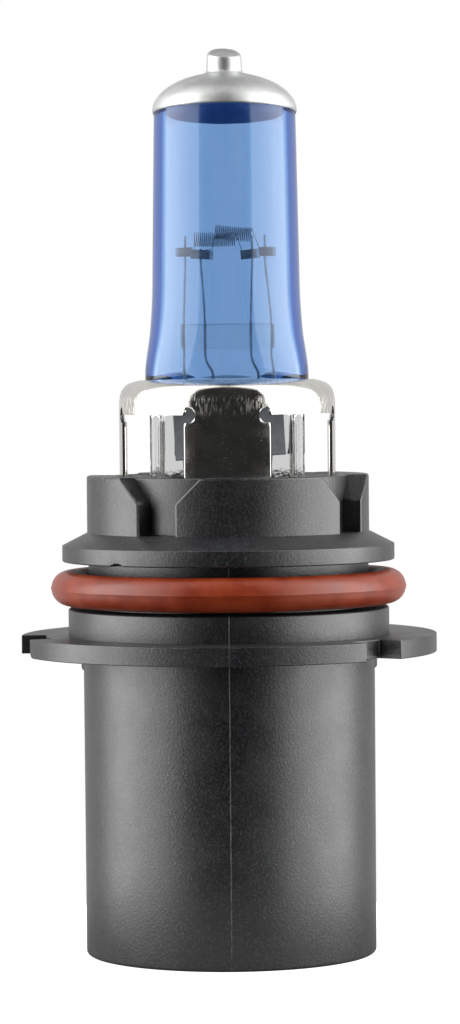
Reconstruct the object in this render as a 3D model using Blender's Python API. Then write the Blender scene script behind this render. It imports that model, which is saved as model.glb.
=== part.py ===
"""Halogen headlight bulb: a blue dip-coated capsule with two transverse filaments,
held by a plated steel cage in a moulded base with a sealing ring and three blades.

Metres, +Z up the bulb's axis, origin at the centre of the rim that the base stands on.
A bearing is an angle about Z in degrees, 0 towards the front (-Y) and 90 towards +X.
"""

import math

import bmesh
import bpy
from mathutils import Matrix, Vector

MM = 0.001
ROUND_STEPS = 60
GLASS_STEPS = 48

# Base moulding
SKIRT_R = 14.6 * MM
SKIRT_BORE_R = 12.95 * MM
SKIRT_EDGE = 0.4 * MM
LUG_R = 14.85 * MM
LUG_Z = 28.6 * MM
LUG_HALF = 7.0
LUG_BEARINGS = (90.0, 270.0)
FLANGE_R = 20.85 * MM
FLANGE_Z = 30.25 * MM
FLANGE_TOP = 32.1 * MM
FLANGE_EDGE = 0.15 * MM
COLLAR_R = 16.1 * MM
COLLAR_TOP = 34.8 * MM
NECK_R = 14.05 * MM
RING_R = 16.67 * MM
RING_Z = 39.5 * MM
RING_RIM_TOP = 41.1 * MM
RING_TOP = 42.4 * MM
HUB_R = 14.15 * MM
HUB_CORE_R = 12.2 * MM
HUB_TOP = 48.06 * MM
WELL_R = 11.15 * MM
WELL_FLOOR = 31.0 * MM
WEB_Z = 28.0 * MM
HUB_RECESS_BEARINGS = (-30.0, 60.0, 150.0, 240.0)
HUB_RECESS_HALF = 8.5
HUB_CHAMFER_ANGLE = 10.5
HUB_CHAMFER = 2.5 * MM
NOTCH_FLOOR_R = 18.3 * MM
FLANGE_NOTCHES = ((-89.6, -71.0), (39.7, 53.5), (152.6, 164.0))
KEY_RIB_BEARINGS = (-38.0, 38.0, 142.0)
KEY_RIB_HALF = 3.0
KEY_RIB_R = 12.0 * MM

# Sealing ring
FIT_GAP = 0.3 * MM
SEAL_SECTION_R = 1.75 * MM
SEAL_R = NECK_R + FIT_GAP + SEAL_SECTION_R
SEAL_Z = COLLAR_TOP + FIT_GAP + SEAL_SECTION_R

# Terminal blades, their wires and the potting
BLADE_PITCH = 8.0 * MM
BLADE_WIDTH = 6.3 * MM
BLADE_THICK = 0.8 * MM
BLADE_TIP_Z = 8.0 * MM
BLADE_TAIL_Z = 36.0 * MM
MIDDLE_BLADE_Y = 1.5 * MM
LEAD_R = 0.4 * MM
LEAD_TOP = 51.2 * MM
POTTING_Z = WELL_FLOOR + FIT_GAP
POTTING_TOP = 44.5 * MM
POTTING_R = WELL_R - FIT_GAP

# Steel cage and seal clip
CAGE_R = 10.83 * MM
SHEET = 0.35 * MM
CAGE_CROWN_Z = 57.7 * MM
CAGE_SHOULDER_Z = 55.4 * MM
CAGE_SKIRT_Z = 54.2 * MM
CAGE_FOOT_Z = 38.5 * MM
LEGS = ((0.0, 22.7), (90.0, 16.5), (180.0, 22.7), (270.0, 16.5))
RELIEF_R = 0.87 * MM
RELIEF_INSET = 0.25 * MM
CAGE_SLOT = (8.65 * MM, 6.55 * MM)
CAGE_SLOT_POWER = 2.4
CLIP_R = 9.95 * MM
CLIP_TOP = 56.35 * MM
CLIP_TONGUE_HALF = 5.55 * MM
CLIP_TONGUE_Z = 49.8 * MM
CLIP_SLOT = (8.3 * MM, 2.75 * MM)

# Glass capsule
PINCH_Z = 46.5 * MM
PINCH_HALF = (7.75 * MM, 1.9 * MM)
TUBE_R = 7.4 * MM
TUBE_TOP_R = 7.08 * MM
WALL = 1.1 * MM
DOME_Z = 84.4 * MM
DOME_RISE = 3.75 * MM
CAVITY_FLOOR_Z = 58.6 * MM
STUB_R = 1.55 * MM
STUB_TOP = 90.64 * MM
BORE_R = 0.5 * MM
TIGHT_GAP = 0.06 * MM
COAT_THICK = 0.1 * MM
COAT_EDGE_Z = 84.2 * MM
COAT_EDGE_TILT = 5.4

# Foils, posts, bridge, crimps and filaments
FOIL_XS = {"left": -4.2 * MM, "middle": 0.0, "right": 4.2 * MM}
FOIL_SIZE = (2.2 * MM, 0.1 * MM, 6.3 * MM)
FOIL_Z = 50.0 * MM
POST_R = 0.2 * MM
POST_GAP = 0.1 * MM
BRIDGE_Z = (60.7 * MM, 63.3 * MM)
BRIDGE_X = (-4.85 * MM, 5.1 * MM)
BRIDGE_HALF_DEPTH = 0.85 * MM
FRONT_COIL_Y = -1.5 * MM
REAR_COIL_Y = 1.4 * MM
COIL_R = 0.65 * MM
COIL_WIRE_R = 0.07 * MM
CRIMP_HEIGHT = 0.9 * MM
CRIMP_SHEET = 0.16 * MM
CRIMP_DEPTH = 1.02 * MM

COLOURS = {
    "black_nylon": ((0.030, 0.031, 0.033), 0.62, 0.0),
    "red_silicone": ((0.42, 0.07, 0.03), 0.5, 0.0),
    "nickel": ((0.72, 0.70, 0.66), 0.14, 1.0),
    "spring_steel": ((0.10, 0.11, 0.12), 0.4, 1.0),
    "tinned_brass": ((0.70, 0.66, 0.55), 0.3, 1.0),
    "potting": ((0.05, 0.045, 0.04), 0.55, 0.0),
    "blue_glass": ((0.18, 0.36, 0.85), 0.05, 0.0),
    "silver_coat": ((0.74, 0.75, 0.75), 0.4, 0.9),
    "clear_glass": ((0.86, 0.88, 0.88), 0.05, 0.0),
    "molybdenum": ((0.42, 0.42, 0.44), 0.35, 1.0),
    "tungsten": ((0.22, 0.22, 0.24), 0.4, 1.0),
}


def clear_scene():
    for obj in list(bpy.data.objects):
        bpy.data.objects.remove(obj)


def material(name):
    """The Principled material of that name, made on first use."""
    found = bpy.data.materials.get(name)
    if found:
        return found
    colour, roughness, metallic = COLOURS[name]
    made = bpy.data.materials.new(name)
    made.use_nodes = True
    shader = made.node_tree.nodes["Principled BSDF"]
    shader.inputs["Base Color"].default_value = (*colour, 1.0)
    shader.inputs["Roughness"].default_value = roughness
    shader.inputs["Metallic"].default_value = metallic
    return made


def object_from(bm, name, finish=None):
    """A linked object from a closed bmesh, in flat triangles that point out."""
    bm.normal_update()
    bmesh.ops.triangulate(bm, faces=bm.faces, ngon_method="EAR_CLIP")
    bmesh.ops.recalc_face_normals(bm, faces=bm.faces)
    if bm.calc_volume(signed=True) < 0:
        bmesh.ops.reverse_faces(bm, faces=bm.faces)
    mesh = bpy.data.meshes.new(name)
    bm.to_mesh(mesh)
    bm.free()
    obj = bpy.data.objects.new(name, mesh)
    bpy.context.scene.collection.objects.link(obj)
    if finish:
        mesh.materials.append(material(finish))
        mesh.shade_smooth()
        mesh.set_sharp_from_angle(angle=math.radians(32))
    return obj


def cutter(obj):
    """Marks a helper shape, which is left out of the model."""
    obj.hide_render = True
    obj.display_type = "WIRE"
    return obj


def boolean(obj, other, operation="DIFFERENCE"):
    modifier = obj.modifiers.new(other.name, "BOOLEAN")
    modifier.operation = operation
    modifier.object = other
    cutter(other)


def at_bearing(radius, bearing, z):
    angle = math.radians(bearing)
    return Vector((radius * math.sin(angle), -radius * math.cos(angle), z))


def lofted(name, rings, finish=None):
    """A solid through rings of equally many points, closed by a face at each end."""
    bm = bmesh.new()
    loops = [[bm.verts.new(point) for point in ring] for ring in rings]
    count = len(loops[0])
    for lower, upper in zip(loops, loops[1:]):
        for i in range(count):
            j = (i + 1) % count
            bm.faces.new((lower[i], lower[j], upper[j], upper[i]))
    bm.faces.new(loops[0])
    bm.faces.new(loops[-1])
    return object_from(bm, name, finish)


def turned(name, profile, finish=None, steps=ROUND_STEPS):
    """A solid of revolution about Z. The profile (radius, z) starts and ends on the axis,
    or else it is joined end to start into a ring."""
    bm = bmesh.new()
    columns = []
    for radius, z in profile:
        if radius == 0:
            columns.append([bm.verts.new((0, 0, z))] * steps)
        else:
            columns.append([bm.verts.new(at_bearing(radius, 360 * k / steps, z)) for k in range(steps)])
    if profile[0][0] or profile[-1][0]:
        columns.append(columns[0])
    for first, second in zip(columns, columns[1:]):
        for i in range(steps):
            j = (i + 1) % steps
            corners = dict.fromkeys((first[i], first[j], second[j], second[i]))
            bm.faces.new(list(corners))
    return object_from(bm, name, finish)


def sector(name, profile, start, end, steps=8):
    """A closed (radius, z) outline swept from one bearing to another."""
    bearings = [start + (end - start) * k / steps for k in range(steps + 1)]
    return lofted(name, [[at_bearing(r, b, z) for r, z in profile] for b in bearings])


def radial_prism(name, outline, inner, outer):
    """A (bearing, z) outline carried out along the radius, from inner to outer."""
    return lofted(name, [[at_bearing(r, b, z) for b, z in outline] for r in (inner, outer)])


def box(name, low, high, finish=None):
    bm = bmesh.new()
    size = Vector(high) - Vector(low)
    middle = (Vector(high) + Vector(low)) / 2
    bmesh.ops.create_cube(bm, size=1, matrix=Matrix.Translation(middle) @ Matrix.Diagonal((*size, 1)))
    return object_from(bm, name, finish)


def smooth_path(points, steps):
    """A Catmull-Rom curve through the points."""
    knots = [Vector(p) for p in points]
    knots = [2 * knots[0] - knots[1], *knots, 2 * knots[-1] - knots[-2]]
    path = []
    for a, b, c, d in zip(knots, knots[1:], knots[2:], knots[3:]):
        for k in range(steps):
            t = k / steps
            path.append(0.5 * (2 * b + (c - a) * t + (2 * a - 5 * b + 4 * c - d) * t**2
                               + (3 * b - a - 3 * c + d) * t**3))
    return [*path, knots[-2]]


def wire(name, path, radius, sides, finish=None):
    """A round wire along the path, with flat ends, carried forward without twisting."""
    path = [Vector(p) for p in path]
    count = len(path)
    rings = []
    across = None
    for i, point in enumerate(path):
        along = (path[min(i + 1, count - 1)] - path[max(i - 1, 0)]).normalized()
        if across is None:
            across = along.orthogonal()
        across = (across - along * across.dot(along)).normalized()
        up = along.cross(across)
        turns = [2 * math.pi * k / sides for k in range(sides)]
        rings.append([point + radius * (across * math.cos(t) + up * math.sin(t)) for t in turns])
    return lofted(name, rings, finish)


def arc(centre, radius, start, end, steps):
    """Points (r, z) on an arc about centre, angles in degrees from +r towards +z."""
    angles = [math.radians(start + (end - start) * k / steps) for k in range(steps + 1)]
    return [(centre[0] + radius * math.cos(a), centre[1] + radius * math.sin(a)) for a in angles]


# ---- Base moulding ----------------------------------------------------------------------


def hub_recess_cutters(bearing):
    """The slot between two of the hub's pads, and the 45 degree flare that cuts their top corners."""
    half = HUB_RECESS_HALF
    above = HUB_TOP + 1 * MM
    floor = RING_TOP + 0.12 * MM
    reach = HUB_R + 2 * MM
    outline = [(HUB_CORE_R, floor), (reach, floor), (reach, above), (HUB_CORE_R, above)]
    slot = sector(f"hub_slot_{bearing:.0f}", outline, bearing - half, bearing + half, 4)
    slope = HUB_CHAMFER / HUB_CHAMFER_ANGLE
    rings = []
    for offset in (-22.0, -15.0, -half + 0.7, half - 0.7, 15.0, 22.0):
        low = HUB_TOP - HUB_CHAMFER + (abs(offset) - half) * slope
        outline = [(HUB_CORE_R, low), (reach, low), (reach, above + 1 * MM), (HUB_CORE_R, above + 1 * MM)]
        rings.append([at_bearing(r, bearing + offset, z) for r, z in outline])
    return slot, lofted(f"hub_flare_{bearing:.0f}", rings)


def base_housing():
    edge = FLANGE_EDGE
    profile = [
        (0, WEB_Z), (SKIRT_BORE_R, WEB_Z), (SKIRT_BORE_R, SKIRT_EDGE / 2), (SKIRT_BORE_R + SKIRT_EDGE / 2, 0),
        *arc((SKIRT_R - SKIRT_EDGE, SKIRT_EDGE), SKIRT_EDGE, -90, 0, 4),
        (SKIRT_R, FLANGE_Z), (FLANGE_R - edge, FLANGE_Z), (FLANGE_R, FLANGE_Z + edge),
        (FLANGE_R, FLANGE_TOP - edge), (FLANGE_R - edge, FLANGE_TOP),
        (COLLAR_R, FLANGE_TOP), (COLLAR_R, COLLAR_TOP), (NECK_R, COLLAR_TOP), (NECK_R, RING_Z),
        (RING_R, RING_Z), (RING_R, RING_RIM_TOP), (HUB_R, RING_TOP),
        (HUB_R, HUB_TOP - edge), (HUB_R - edge, HUB_TOP),
        (WELL_R, HUB_TOP), (WELL_R, WELL_FLOOR), (0, WELL_FLOOR),
    ]
    housing = turned("base_housing", profile, "black_nylon")
    for bearing in HUB_RECESS_BEARINGS:
        slot, flare = hub_recess_cutters(bearing)
        boolean(housing, slot)
        boolean(housing, flare)
    for start, end in FLANGE_NOTCHES:
        outline = [(NOTCH_FLOOR_R, FLANGE_Z - 1 * MM), (FLANGE_R + 2 * MM, FLANGE_Z - 1 * MM),
                   (FLANGE_R + 2 * MM, FLANGE_TOP + 1 * MM), (NOTCH_FLOOR_R, FLANGE_TOP + 1 * MM)]
        boolean(housing, sector(f"notch_{start:.0f}", outline, start, end))
    for bearing in LUG_BEARINGS:
        outline = [(SKIRT_R - 0.8 * MM, LUG_Z), (SKIRT_R + 0.05 * MM, LUG_Z), (LUG_R, LUG_Z + 0.2 * MM),
                   (LUG_R, FLANGE_Z + 0.8 * MM), (SKIRT_R - 0.8 * MM, FLANGE_Z + 0.8 * MM)]
        lug = sector(f"lug_{bearing:.0f}", outline, bearing - LUG_HALF, bearing + LUG_HALF, 4)
        boolean(housing, lug, "UNION")
    for bearing in KEY_RIB_BEARINGS:
        outline = [(KEY_RIB_R, 3 * MM), (SKIRT_BORE_R + 0.8 * MM, 3 * MM),
                   (SKIRT_BORE_R + 0.8 * MM, WEB_Z + 1 * MM), (KEY_RIB_R, WEB_Z + 1 * MM)]
        rib = sector(f"key_rib_{bearing:.0f}", outline, bearing - KEY_RIB_HALF, bearing + KEY_RIB_HALF, 2)
        boolean(housing, rib, "UNION")
    for side, (x, y) in blade_places().items():
        half = Vector((BLADE_THICK / 2 + FIT_GAP, BLADE_WIDTH / 2 + FIT_GAP, 0))
        low = Vector((x, y, WEB_Z - 1 * MM)) - half
        high = Vector((x, y, WELL_FLOOR + 1 * MM)) + half
        boolean(housing, box(f"blade_slot_{side}", low, high))
    return housing


def sealing_ring():
    return turned("sealing_ring", arc((SEAL_R, SEAL_Z), SEAL_SECTION_R, 0, 337.5, 15), "red_silicone", 48)


# ---- Blades, lead wires and potting -----------------------------------------------------


def blade_places():
    return {"left": (-BLADE_PITCH, 0.0), "middle": (0.0, MIDDLE_BLADE_Y), "right": (BLADE_PITCH, 0.0)}


def blade(side, circuit):
    """A blade in the YZ plane with a tapered tip, a detent hole and a narrower tail for its wire."""
    x, y = blade_places()[side]
    half = BLADE_WIDTH / 2
    tail_half = 2.0 * MM
    taper = 1.2 * MM
    shoulder_z = WELL_FLOOR + 0.6 * MM
    outline = [(-half + taper, BLADE_TIP_Z), (half - taper, BLADE_TIP_Z), (half, BLADE_TIP_Z + 1.8 * MM),
               (half, shoulder_z), (tail_half, shoulder_z + 0.8 * MM), (tail_half, BLADE_TAIL_Z),
               (-tail_half, BLADE_TAIL_Z), (-tail_half, shoulder_z + 0.8 * MM), (-half, shoulder_z),
               (-half, BLADE_TIP_Z + 1.8 * MM)]
    faces = [[(x + dx, y + dy, z) for dy, z in outline] for dx in (-BLADE_THICK / 2, BLADE_THICK / 2)]
    made = lofted(f"{circuit}_terminal", faces, "tinned_brass")
    hole_z = BLADE_TIP_Z + 4.2 * MM
    hole = wire(f"{circuit}_detent", [(x - 2 * BLADE_THICK, y, hole_z), (x + 2 * BLADE_THICK, y, hole_z)],
                0.8 * MM, 16)
    boolean(made, hole)
    return made


def lead_path(side):
    """From the foil in the pinch, down out of the glass and across to the blade's tail."""
    top_x = FOIL_XS[side]
    x, y = blade_places()[side]
    beside = BLADE_THICK / 2 + FIT_GAP + LEAD_R
    end_x = x - beside if side == "right" else x + beside
    y_top = -(FOIL_SIZE[1] / 2 + TIGHT_GAP + LEAD_R)
    return [(top_x, y_top, LEAD_TOP), (top_x, y_top, 45.6 * MM), (end_x, y, 39.4 * MM),
            (end_x, y, 36.6 * MM), (end_x, y, 33.2 * MM)]


def lead(side, circuit):
    return wire(f"{circuit}_lead", smooth_path(lead_path(side), 5), LEAD_R, 10, "molybdenum")


def potting():
    """The filling that seals the well round the cage's feet, the wires and the blades' tails."""
    made = turned("potting_seal", [(0, POTTING_Z), (POTTING_R, POTTING_Z), (POTTING_R, POTTING_TOP),
                                   (0, POTTING_TOP)], "potting")
    inner = CAGE_R - SHEET - FIT_GAP
    for bearing, half in LEGS:
        outline = [(inner, CAGE_FOOT_Z - FIT_GAP), (WELL_R + 1 * MM, CAGE_FOOT_Z - FIT_GAP),
                   (WELL_R + 1 * MM, POTTING_TOP + 1 * MM), (inner, POTTING_TOP + 1 * MM)]
        ends = (bearing - half - 2, bearing + half + 2)
        boolean(made, sector(f"foot_pocket_{bearing:.0f}", outline, *ends, 7))
    for side, (x, y) in blade_places().items():
        half = Vector((BLADE_THICK / 2 + FIT_GAP, BLADE_WIDTH / 2 + FIT_GAP, 0))
        low = Vector((x, y, POTTING_Z - 1 * MM)) - half
        high = Vector((x, y, BLADE_TAIL_Z + FIT_GAP)) + half
        boolean(made, box(f"tail_pocket_{side}", low, high))
        path = [p for p in smooth_path(lead_path(side), 5) if p.z < HUB_TOP]
        path.append(Vector((path[-1].x, path[-1].y, path[-1].z - FIT_GAP)))
        boolean(made, wire(f"wire_pocket_{side}", path, LEAD_R + FIT_GAP, 12))
    return made


# ---- Steel cage and seal clip -----------------------------------------------------------


def cage_window(start, end):
    """The opening between two legs' edges, with a round relief at each upper corner."""
    middle, half = (start + end) / 2, (end - start) / 2
    per_mm = math.degrees(MM / CAGE_R)
    relief_b = half + RELIEF_INSET / MM * per_mm
    outline = [(-half, CAGE_FOOT_Z - 2 * MM), (half, CAGE_FOOT_Z - 2 * MM)]
    for side in (1, -1):
        turns = [-107 + 284 * k / 12 for k in range(13)]
        relief = [(side * (relief_b + RELIEF_R / MM * per_mm * math.cos(math.radians(t))),
                   CAGE_SKIRT_Z + RELIEF_R * math.sin(math.radians(t))) for t in turns]
        outline += relief if side == 1 else relief[::-1]
    outline = [(middle + b, z) for b, z in outline]
    return radial_prism(f"cage_window_{middle:.0f}", outline, CAGE_R - 2 * MM, CAGE_R + 3 * MM)


def holder_cage():
    """A drawn cup over the pinch with four legs that stand in the base's well."""
    crown = [(8.24 * MM, CAGE_CROWN_Z - 0.04 * MM), (9.24 * MM, 57.47 * MM), (9.9 * MM, 57.25 * MM),
             (10.3 * MM, 56.97 * MM), (10.58 * MM, 56.55 * MM), (10.75 * MM, 56.05 * MM),
             (CAGE_R, CAGE_SHOULDER_Z)]
    inside = [(r - SHEET, z - SHEET * (1 - i / (len(crown) - 1))) for i, (r, z) in enumerate(crown)]
    profile = [(0, CAGE_CROWN_Z), *crown, (CAGE_R, CAGE_FOOT_Z), (CAGE_R - SHEET, CAGE_FOOT_Z),
               *reversed(inside), (0, CAGE_CROWN_Z - SHEET)]
    cage = turned("holder_cage", profile, "nickel")
    for (bearing, half), (_, next_half) in zip(LEGS, LEGS[1:] + LEGS[:1]):
        boolean(cage, cage_window(bearing + half, bearing + 90 - next_half))
    half_x, half_y = CAGE_SLOT
    slot = [[ellipse_point(half_x, half_y, CAGE_SLOT_POWER, k, GLASS_STEPS, z) for k in range(GLASS_STEPS)]
            for z in (CAGE_CROWN_Z - 3 * MM, CAGE_CROWN_Z + 2 * MM)]
    boolean(cage, lofted("cage_slot", slot))
    return cage


def clip_tongue(name, sign):
    """A tongue bent down from the clip's plate, which presses on one face of the pinch."""
    near, far = CLIP_SLOT[1], PINCH_HALF[1] + FIT_GAP
    top = CLIP_TOP
    line = [(near + 1.4 * MM, top), (near + 0.35 * MM, top - 0.02 * MM), (near, top - 0.35 * MM),
            (far + 0.12 * MM, top - 1.6 * MM), (far, CLIP_TONGUE_Z + 1.0 * MM), (far + 0.25 * MM, CLIP_TONGUE_Z)]
    back = [(y + (SHEET if i > 1 else 0), z - (SHEET if i <= 1 else 0.12 * MM if i == 2 else 0))
            for i, (y, z) in enumerate(line)]
    outline = [*line, *reversed(back)]
    ends = [[(x, sign * y, z) for y, z in outline] for x in (-CLIP_TONGUE_HALF, CLIP_TONGUE_HALF)]
    return lofted(name, ends)


def seal_clip():
    """A spring plate under the cage's crown, whose slot and two tongues grip the pinch."""
    clip = turned("seal_clip", [(0, CLIP_TOP - SHEET), (CLIP_R, CLIP_TOP - SHEET), (CLIP_R, CLIP_TOP),
                                (0, CLIP_TOP)], "spring_steel")
    half_x, half_y = CLIP_SLOT
    boolean(clip, box("clip_slot", (-half_x, -half_y, CLIP_TOP - 2 * MM), (half_x, half_y, CLIP_TOP + 2 * MM)))
    boolean(clip, clip_tongue("tongue_back", 1), "UNION")
    boolean(clip, clip_tongue("tongue_front", -1), "UNION")
    return clip


# ---- Glass capsule ----------------------------------------------------------------------


def ellipse_point(half_x, half_y, power, k, steps, z):
    """Point k of a superellipse: power 2 is an ellipse, and a higher one is squarer."""
    angle = 2 * math.pi * k / steps
    c, s = math.cos(angle), math.sin(angle)
    x = half_x * math.copysign(abs(c) ** (2 / power), c)
    y = half_y * math.copysign(abs(s) ** (2 / power), s)
    return (x, y, z)


def glass_ring(half_x, half_y, power, z):
    return [ellipse_point(half_x, half_y, power, k, GLASS_STEPS, z) for k in range(GLASS_STEPS)]


def glass_envelope():
    """The tube, flattened at its foot into the pinch, with a domed top and an open exhaust stub."""
    pinch_x, pinch_y = PINCH_HALF
    outer = [
        (pinch_x, pinch_y, 7, PINCH_Z), (pinch_x, pinch_y, 7, 55.2 * MM), (7.8 * MM, 2.2 * MM, 5, 55.95 * MM),
        (7.88 * MM, 2.45 * MM, 4.2, 56.4 * MM), (8.0 * MM, 3.2 * MM, 3.3, 56.7 * MM),
        (8.12 * MM, 4.7 * MM, 2.6, 57.05 * MM), (8.18 * MM, 5.65 * MM, 2.35, 57.45 * MM),
        (8.19 * MM, 6.15 * MM, 2.2, 57.95 * MM), (8.16 * MM, 6.5 * MM, 2.1, 58.8 * MM),
        (7.95 * MM, 6.8 * MM, 2.05, 60.4 * MM), (7.68 * MM, 7.05 * MM, 2, 62.2 * MM),
        (7.5 * MM, 7.28 * MM, 2, 64.4 * MM), (TUBE_R, TUBE_R, 2, 66.5 * MM), (TUBE_TOP_R, TUBE_TOP_R, 2, DOME_Z),
    ]
    inner = [
        (TUBE_TOP_R - WALL, TUBE_TOP_R - WALL, 2, DOME_Z), (TUBE_R - WALL, TUBE_R - WALL, 2, 66.5 * MM),
        (6.4 * MM, 6.18 * MM, 2, 64.4 * MM), (6.58 * MM, 5.95 * MM, 2, 62.2 * MM),
        (6.85 * MM, 5.7 * MM, 2.05, 60.4 * MM), (6.95 * MM, 5.3 * MM, 2.15, 59.2 * MM),
        (6.6 * MM, 4.6 * MM, 2.3, 58.75 * MM), (5.6 * MM, 3.4 * MM, 2.5, CAVITY_FLOOR_Z),
    ]
    rings = [glass_ring(*section) for section in outer]
    for degrees in (12, 24, 36, 48, 60, 70):
        angle = math.radians(degrees)
        rings.append(round_glass_ring(TUBE_TOP_R * math.cos(angle), DOME_Z + DOME_RISE * math.sin(angle)))
    stub_foot = DOME_Z + DOME_RISE * math.sqrt(1 - (STUB_R / TUBE_TOP_R) ** 2)
    rings += [round_glass_ring(r, z) for r, z in (
        (STUB_R, stub_foot), (STUB_R, STUB_TOP - 0.5 * MM), (STUB_R - 0.3 * MM, STUB_TOP - 0.1 * MM),
        (STUB_R - 0.65 * MM, STUB_TOP), (BORE_R, STUB_TOP), (BORE_R, DOME_Z + DOME_RISE - WALL))]
    inside_r = TUBE_TOP_R - WALL
    for degrees in (66, 46, 22):
        angle = math.radians(degrees)
        z = DOME_Z + (DOME_RISE - WALL) * math.sin(angle)
        rings.append(round_glass_ring(inside_r * math.cos(angle), z))
    rings += [glass_ring(*section) for section in inner]
    glass = lofted("glass_envelope", rings, "blue_glass")
    width, thick, height = FOIL_SIZE
    for side, x in FOIL_XS.items():
        gap = POST_GAP
        pocket = box(f"foil_pocket_{side}", (x - width / 2 - gap, -thick / 2 - gap, FOIL_Z - gap),
                     (x + width / 2 + gap, thick / 2 + gap, FOIL_Z + height + gap))
        boolean(glass, pocket)
        lead_top = [p for p in smooth_path(lead_path(side), 5) if p.z > PINCH_Z - 1 * MM]
        lead_top[0].z += gap
        boolean(glass, wire(f"lead_bore_{side}", lead_top, LEAD_R + gap, 10))
    for name, points in POSTS.items():
        run = [p for p in smooth_path(points, 3) if p.z < CAVITY_FLOOR_Z + 0.8 * MM]
        run[0].z -= POST_GAP
        boolean(glass, wire(f"{name}_bore", run, POST_R + POST_GAP, 6))
    return glass


def round_glass_ring(radius, z):
    return glass_ring(radius, radius, 2, z)


def exhaust_seal():
    """The bead that the exhaust stub was melted shut with."""
    radius = BORE_R - TIGHT_GAP
    return turned("exhaust_seal", [(0, STUB_TOP - 1.3 * MM), (radius, STUB_TOP - 1.1 * MM),
                                   (radius, STUB_TOP - 0.1 * MM), (0, STUB_TOP)], "clear_glass", 12)


def top_coating():
    """The opaque coat over the dome and the stub. Its edge is a little lower at the back."""
    outline = [(TUBE_TOP_R + 0.02 * MM, DOME_Z - 2.2 * MM), (TUBE_TOP_R, DOME_Z)]
    for degrees in (12, 24, 36, 48, 60, 70):
        angle = math.radians(degrees)
        outline.append((TUBE_TOP_R * math.cos(angle), DOME_Z + DOME_RISE * math.sin(angle)))
    stub_foot = DOME_Z + DOME_RISE * math.sqrt(1 - (STUB_R / TUBE_TOP_R) ** 2)
    outline += [(STUB_R, stub_foot), (STUB_R, STUB_TOP - 0.5 * MM), (STUB_R - 0.3 * MM, STUB_TOP - 0.1 * MM),
                (STUB_R - 0.65 * MM, STUB_TOP)]
    inner = coat_offset(outline, TIGHT_GAP)
    outer = coat_offset(outline, TIGHT_GAP + COAT_THICK)
    profile = [(0, STUB_TOP + TIGHT_GAP), *reversed(inner), *outer, (0, STUB_TOP + TIGHT_GAP + COAT_THICK)]
    coat = turned("top_coating", profile, "silver_coat", GLASS_STEPS)
    reach = 2 * TUBE_R
    below = box("coat_edge", (-reach, -reach, -reach), (reach, reach, 0))
    below.location = (0, 0, COAT_EDGE_Z)
    below.rotation_euler = (math.radians(-COAT_EDGE_TILT), 0, 0)
    boolean(coat, below)
    return coat


def coat_offset(outline, distance):
    """The outline moved out by about that distance, along the mean of its two edges' normals."""
    moved = []
    for i, (r, z) in enumerate(outline):
        before, after = outline[max(i - 1, 0)], outline[min(i + 1, len(outline) - 1)]
        dr, dz = after[0] - before[0], after[1] - before[1]
        length = math.hypot(dr, dz)
        moved.append((r + distance * dz / length, z - distance * dr / length))
    return moved


# ---- Foils, posts, bridge, crimps and filaments -----------------------------------------

POST_PINCH_Y = -(FOIL_SIZE[1] / 2 + TIGHT_GAP + POST_R)
POST_FOOT_Z = 52.5 * MM
# Each post's route: x in the pinch, x in the bridge, then the x, y and z of its top.
POST_ROUTES = {
    "high_beam_post": (-4.2 * MM, -4.25 * MM, -4.16 * MM, REAR_COIL_Y, 72.0 * MM),
    "low_beam_post": (-0.8 * MM, -2.14 * MM, -2.47 * MM, FRONT_COIL_Y, 70.62 * MM),
    "low_beam_return_post": (3.6 * MM, 2.45 * MM, 2.6 * MM, FRONT_COIL_Y, 71.95 * MM),
    "high_beam_return_post": (4.8 * MM, 4.5 * MM, 4.02 * MM, REAR_COIL_Y, 72.1 * MM),
}


def post_points(foot_x, bridge_x, top_x, top_y, top_z):
    return [(foot_x, POST_PINCH_Y, POST_FOOT_Z), (foot_x, POST_PINCH_Y, 56.8 * MM),
            (0.35 * foot_x + 0.65 * bridge_x, POST_PINCH_Y / 3, 59.3 * MM), (bridge_x, 0, BRIDGE_Z[0] - 0.2 * MM),
            (bridge_x, 0, BRIDGE_Z[1] + 0.2 * MM), (0.5 * (bridge_x + top_x), 0.6 * top_y, 66.8 * MM),
            (top_x, top_y, 69.3 * MM), (top_x, top_y, top_z)]


POSTS = {name: post_points(*route) for name, route in POST_ROUTES.items()}


def foil(side, circuit):
    width, thick, height = FOIL_SIZE
    x = FOIL_XS[side]
    return box(f"{circuit}_foil", (x - width / 2, -thick / 2, FOIL_Z), (x + width / 2, thick / 2, FOIL_Z + height),
               "molybdenum")


def post(name):
    return wire(name, smooth_path(POSTS[name], 3), POST_R, 6, "molybdenum")


def glass_bridge():
    """The flat glass bar that holds the four posts apart."""
    bar = box("glass_bridge", (BRIDGE_X[0], -BRIDGE_HALF_DEPTH, BRIDGE_Z[0]),
              (BRIDGE_X[1], BRIDGE_HALF_DEPTH, BRIDGE_Z[1]), "clear_glass")
    for name, (_, bridge_x, *_) in POST_ROUTES.items():
        run = [(bridge_x, 0, BRIDGE_Z[0] - 1 * MM), (bridge_x, 0, BRIDGE_Z[1] + 1 * MM)]
        boolean(bar, wire(f"{name}_hole", run, POST_R + 2 * POST_GAP, 8))
    return bar


def crimp(name, x_fold, x_mouth, y, z):
    """A tab folded round a post and a filament's leg, open at its mouth."""
    half = CRIMP_DEPTH / 2
    sheet = math.copysign(CRIMP_SHEET, x_mouth - x_fold)
    inner = half - CRIMP_SHEET
    outline = [(x_mouth, -half), (x_fold, -half), (x_fold, half), (x_mouth, half),
               (x_mouth, inner), (x_fold + sheet, inner), (x_fold + sheet, -inner), (x_mouth, -inner)]
    ends = [[(px, y + py, z + dz) for px, py in outline] for dz in (0, CRIMP_HEIGHT)]
    return lofted(name, ends, "molybdenum")


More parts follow.
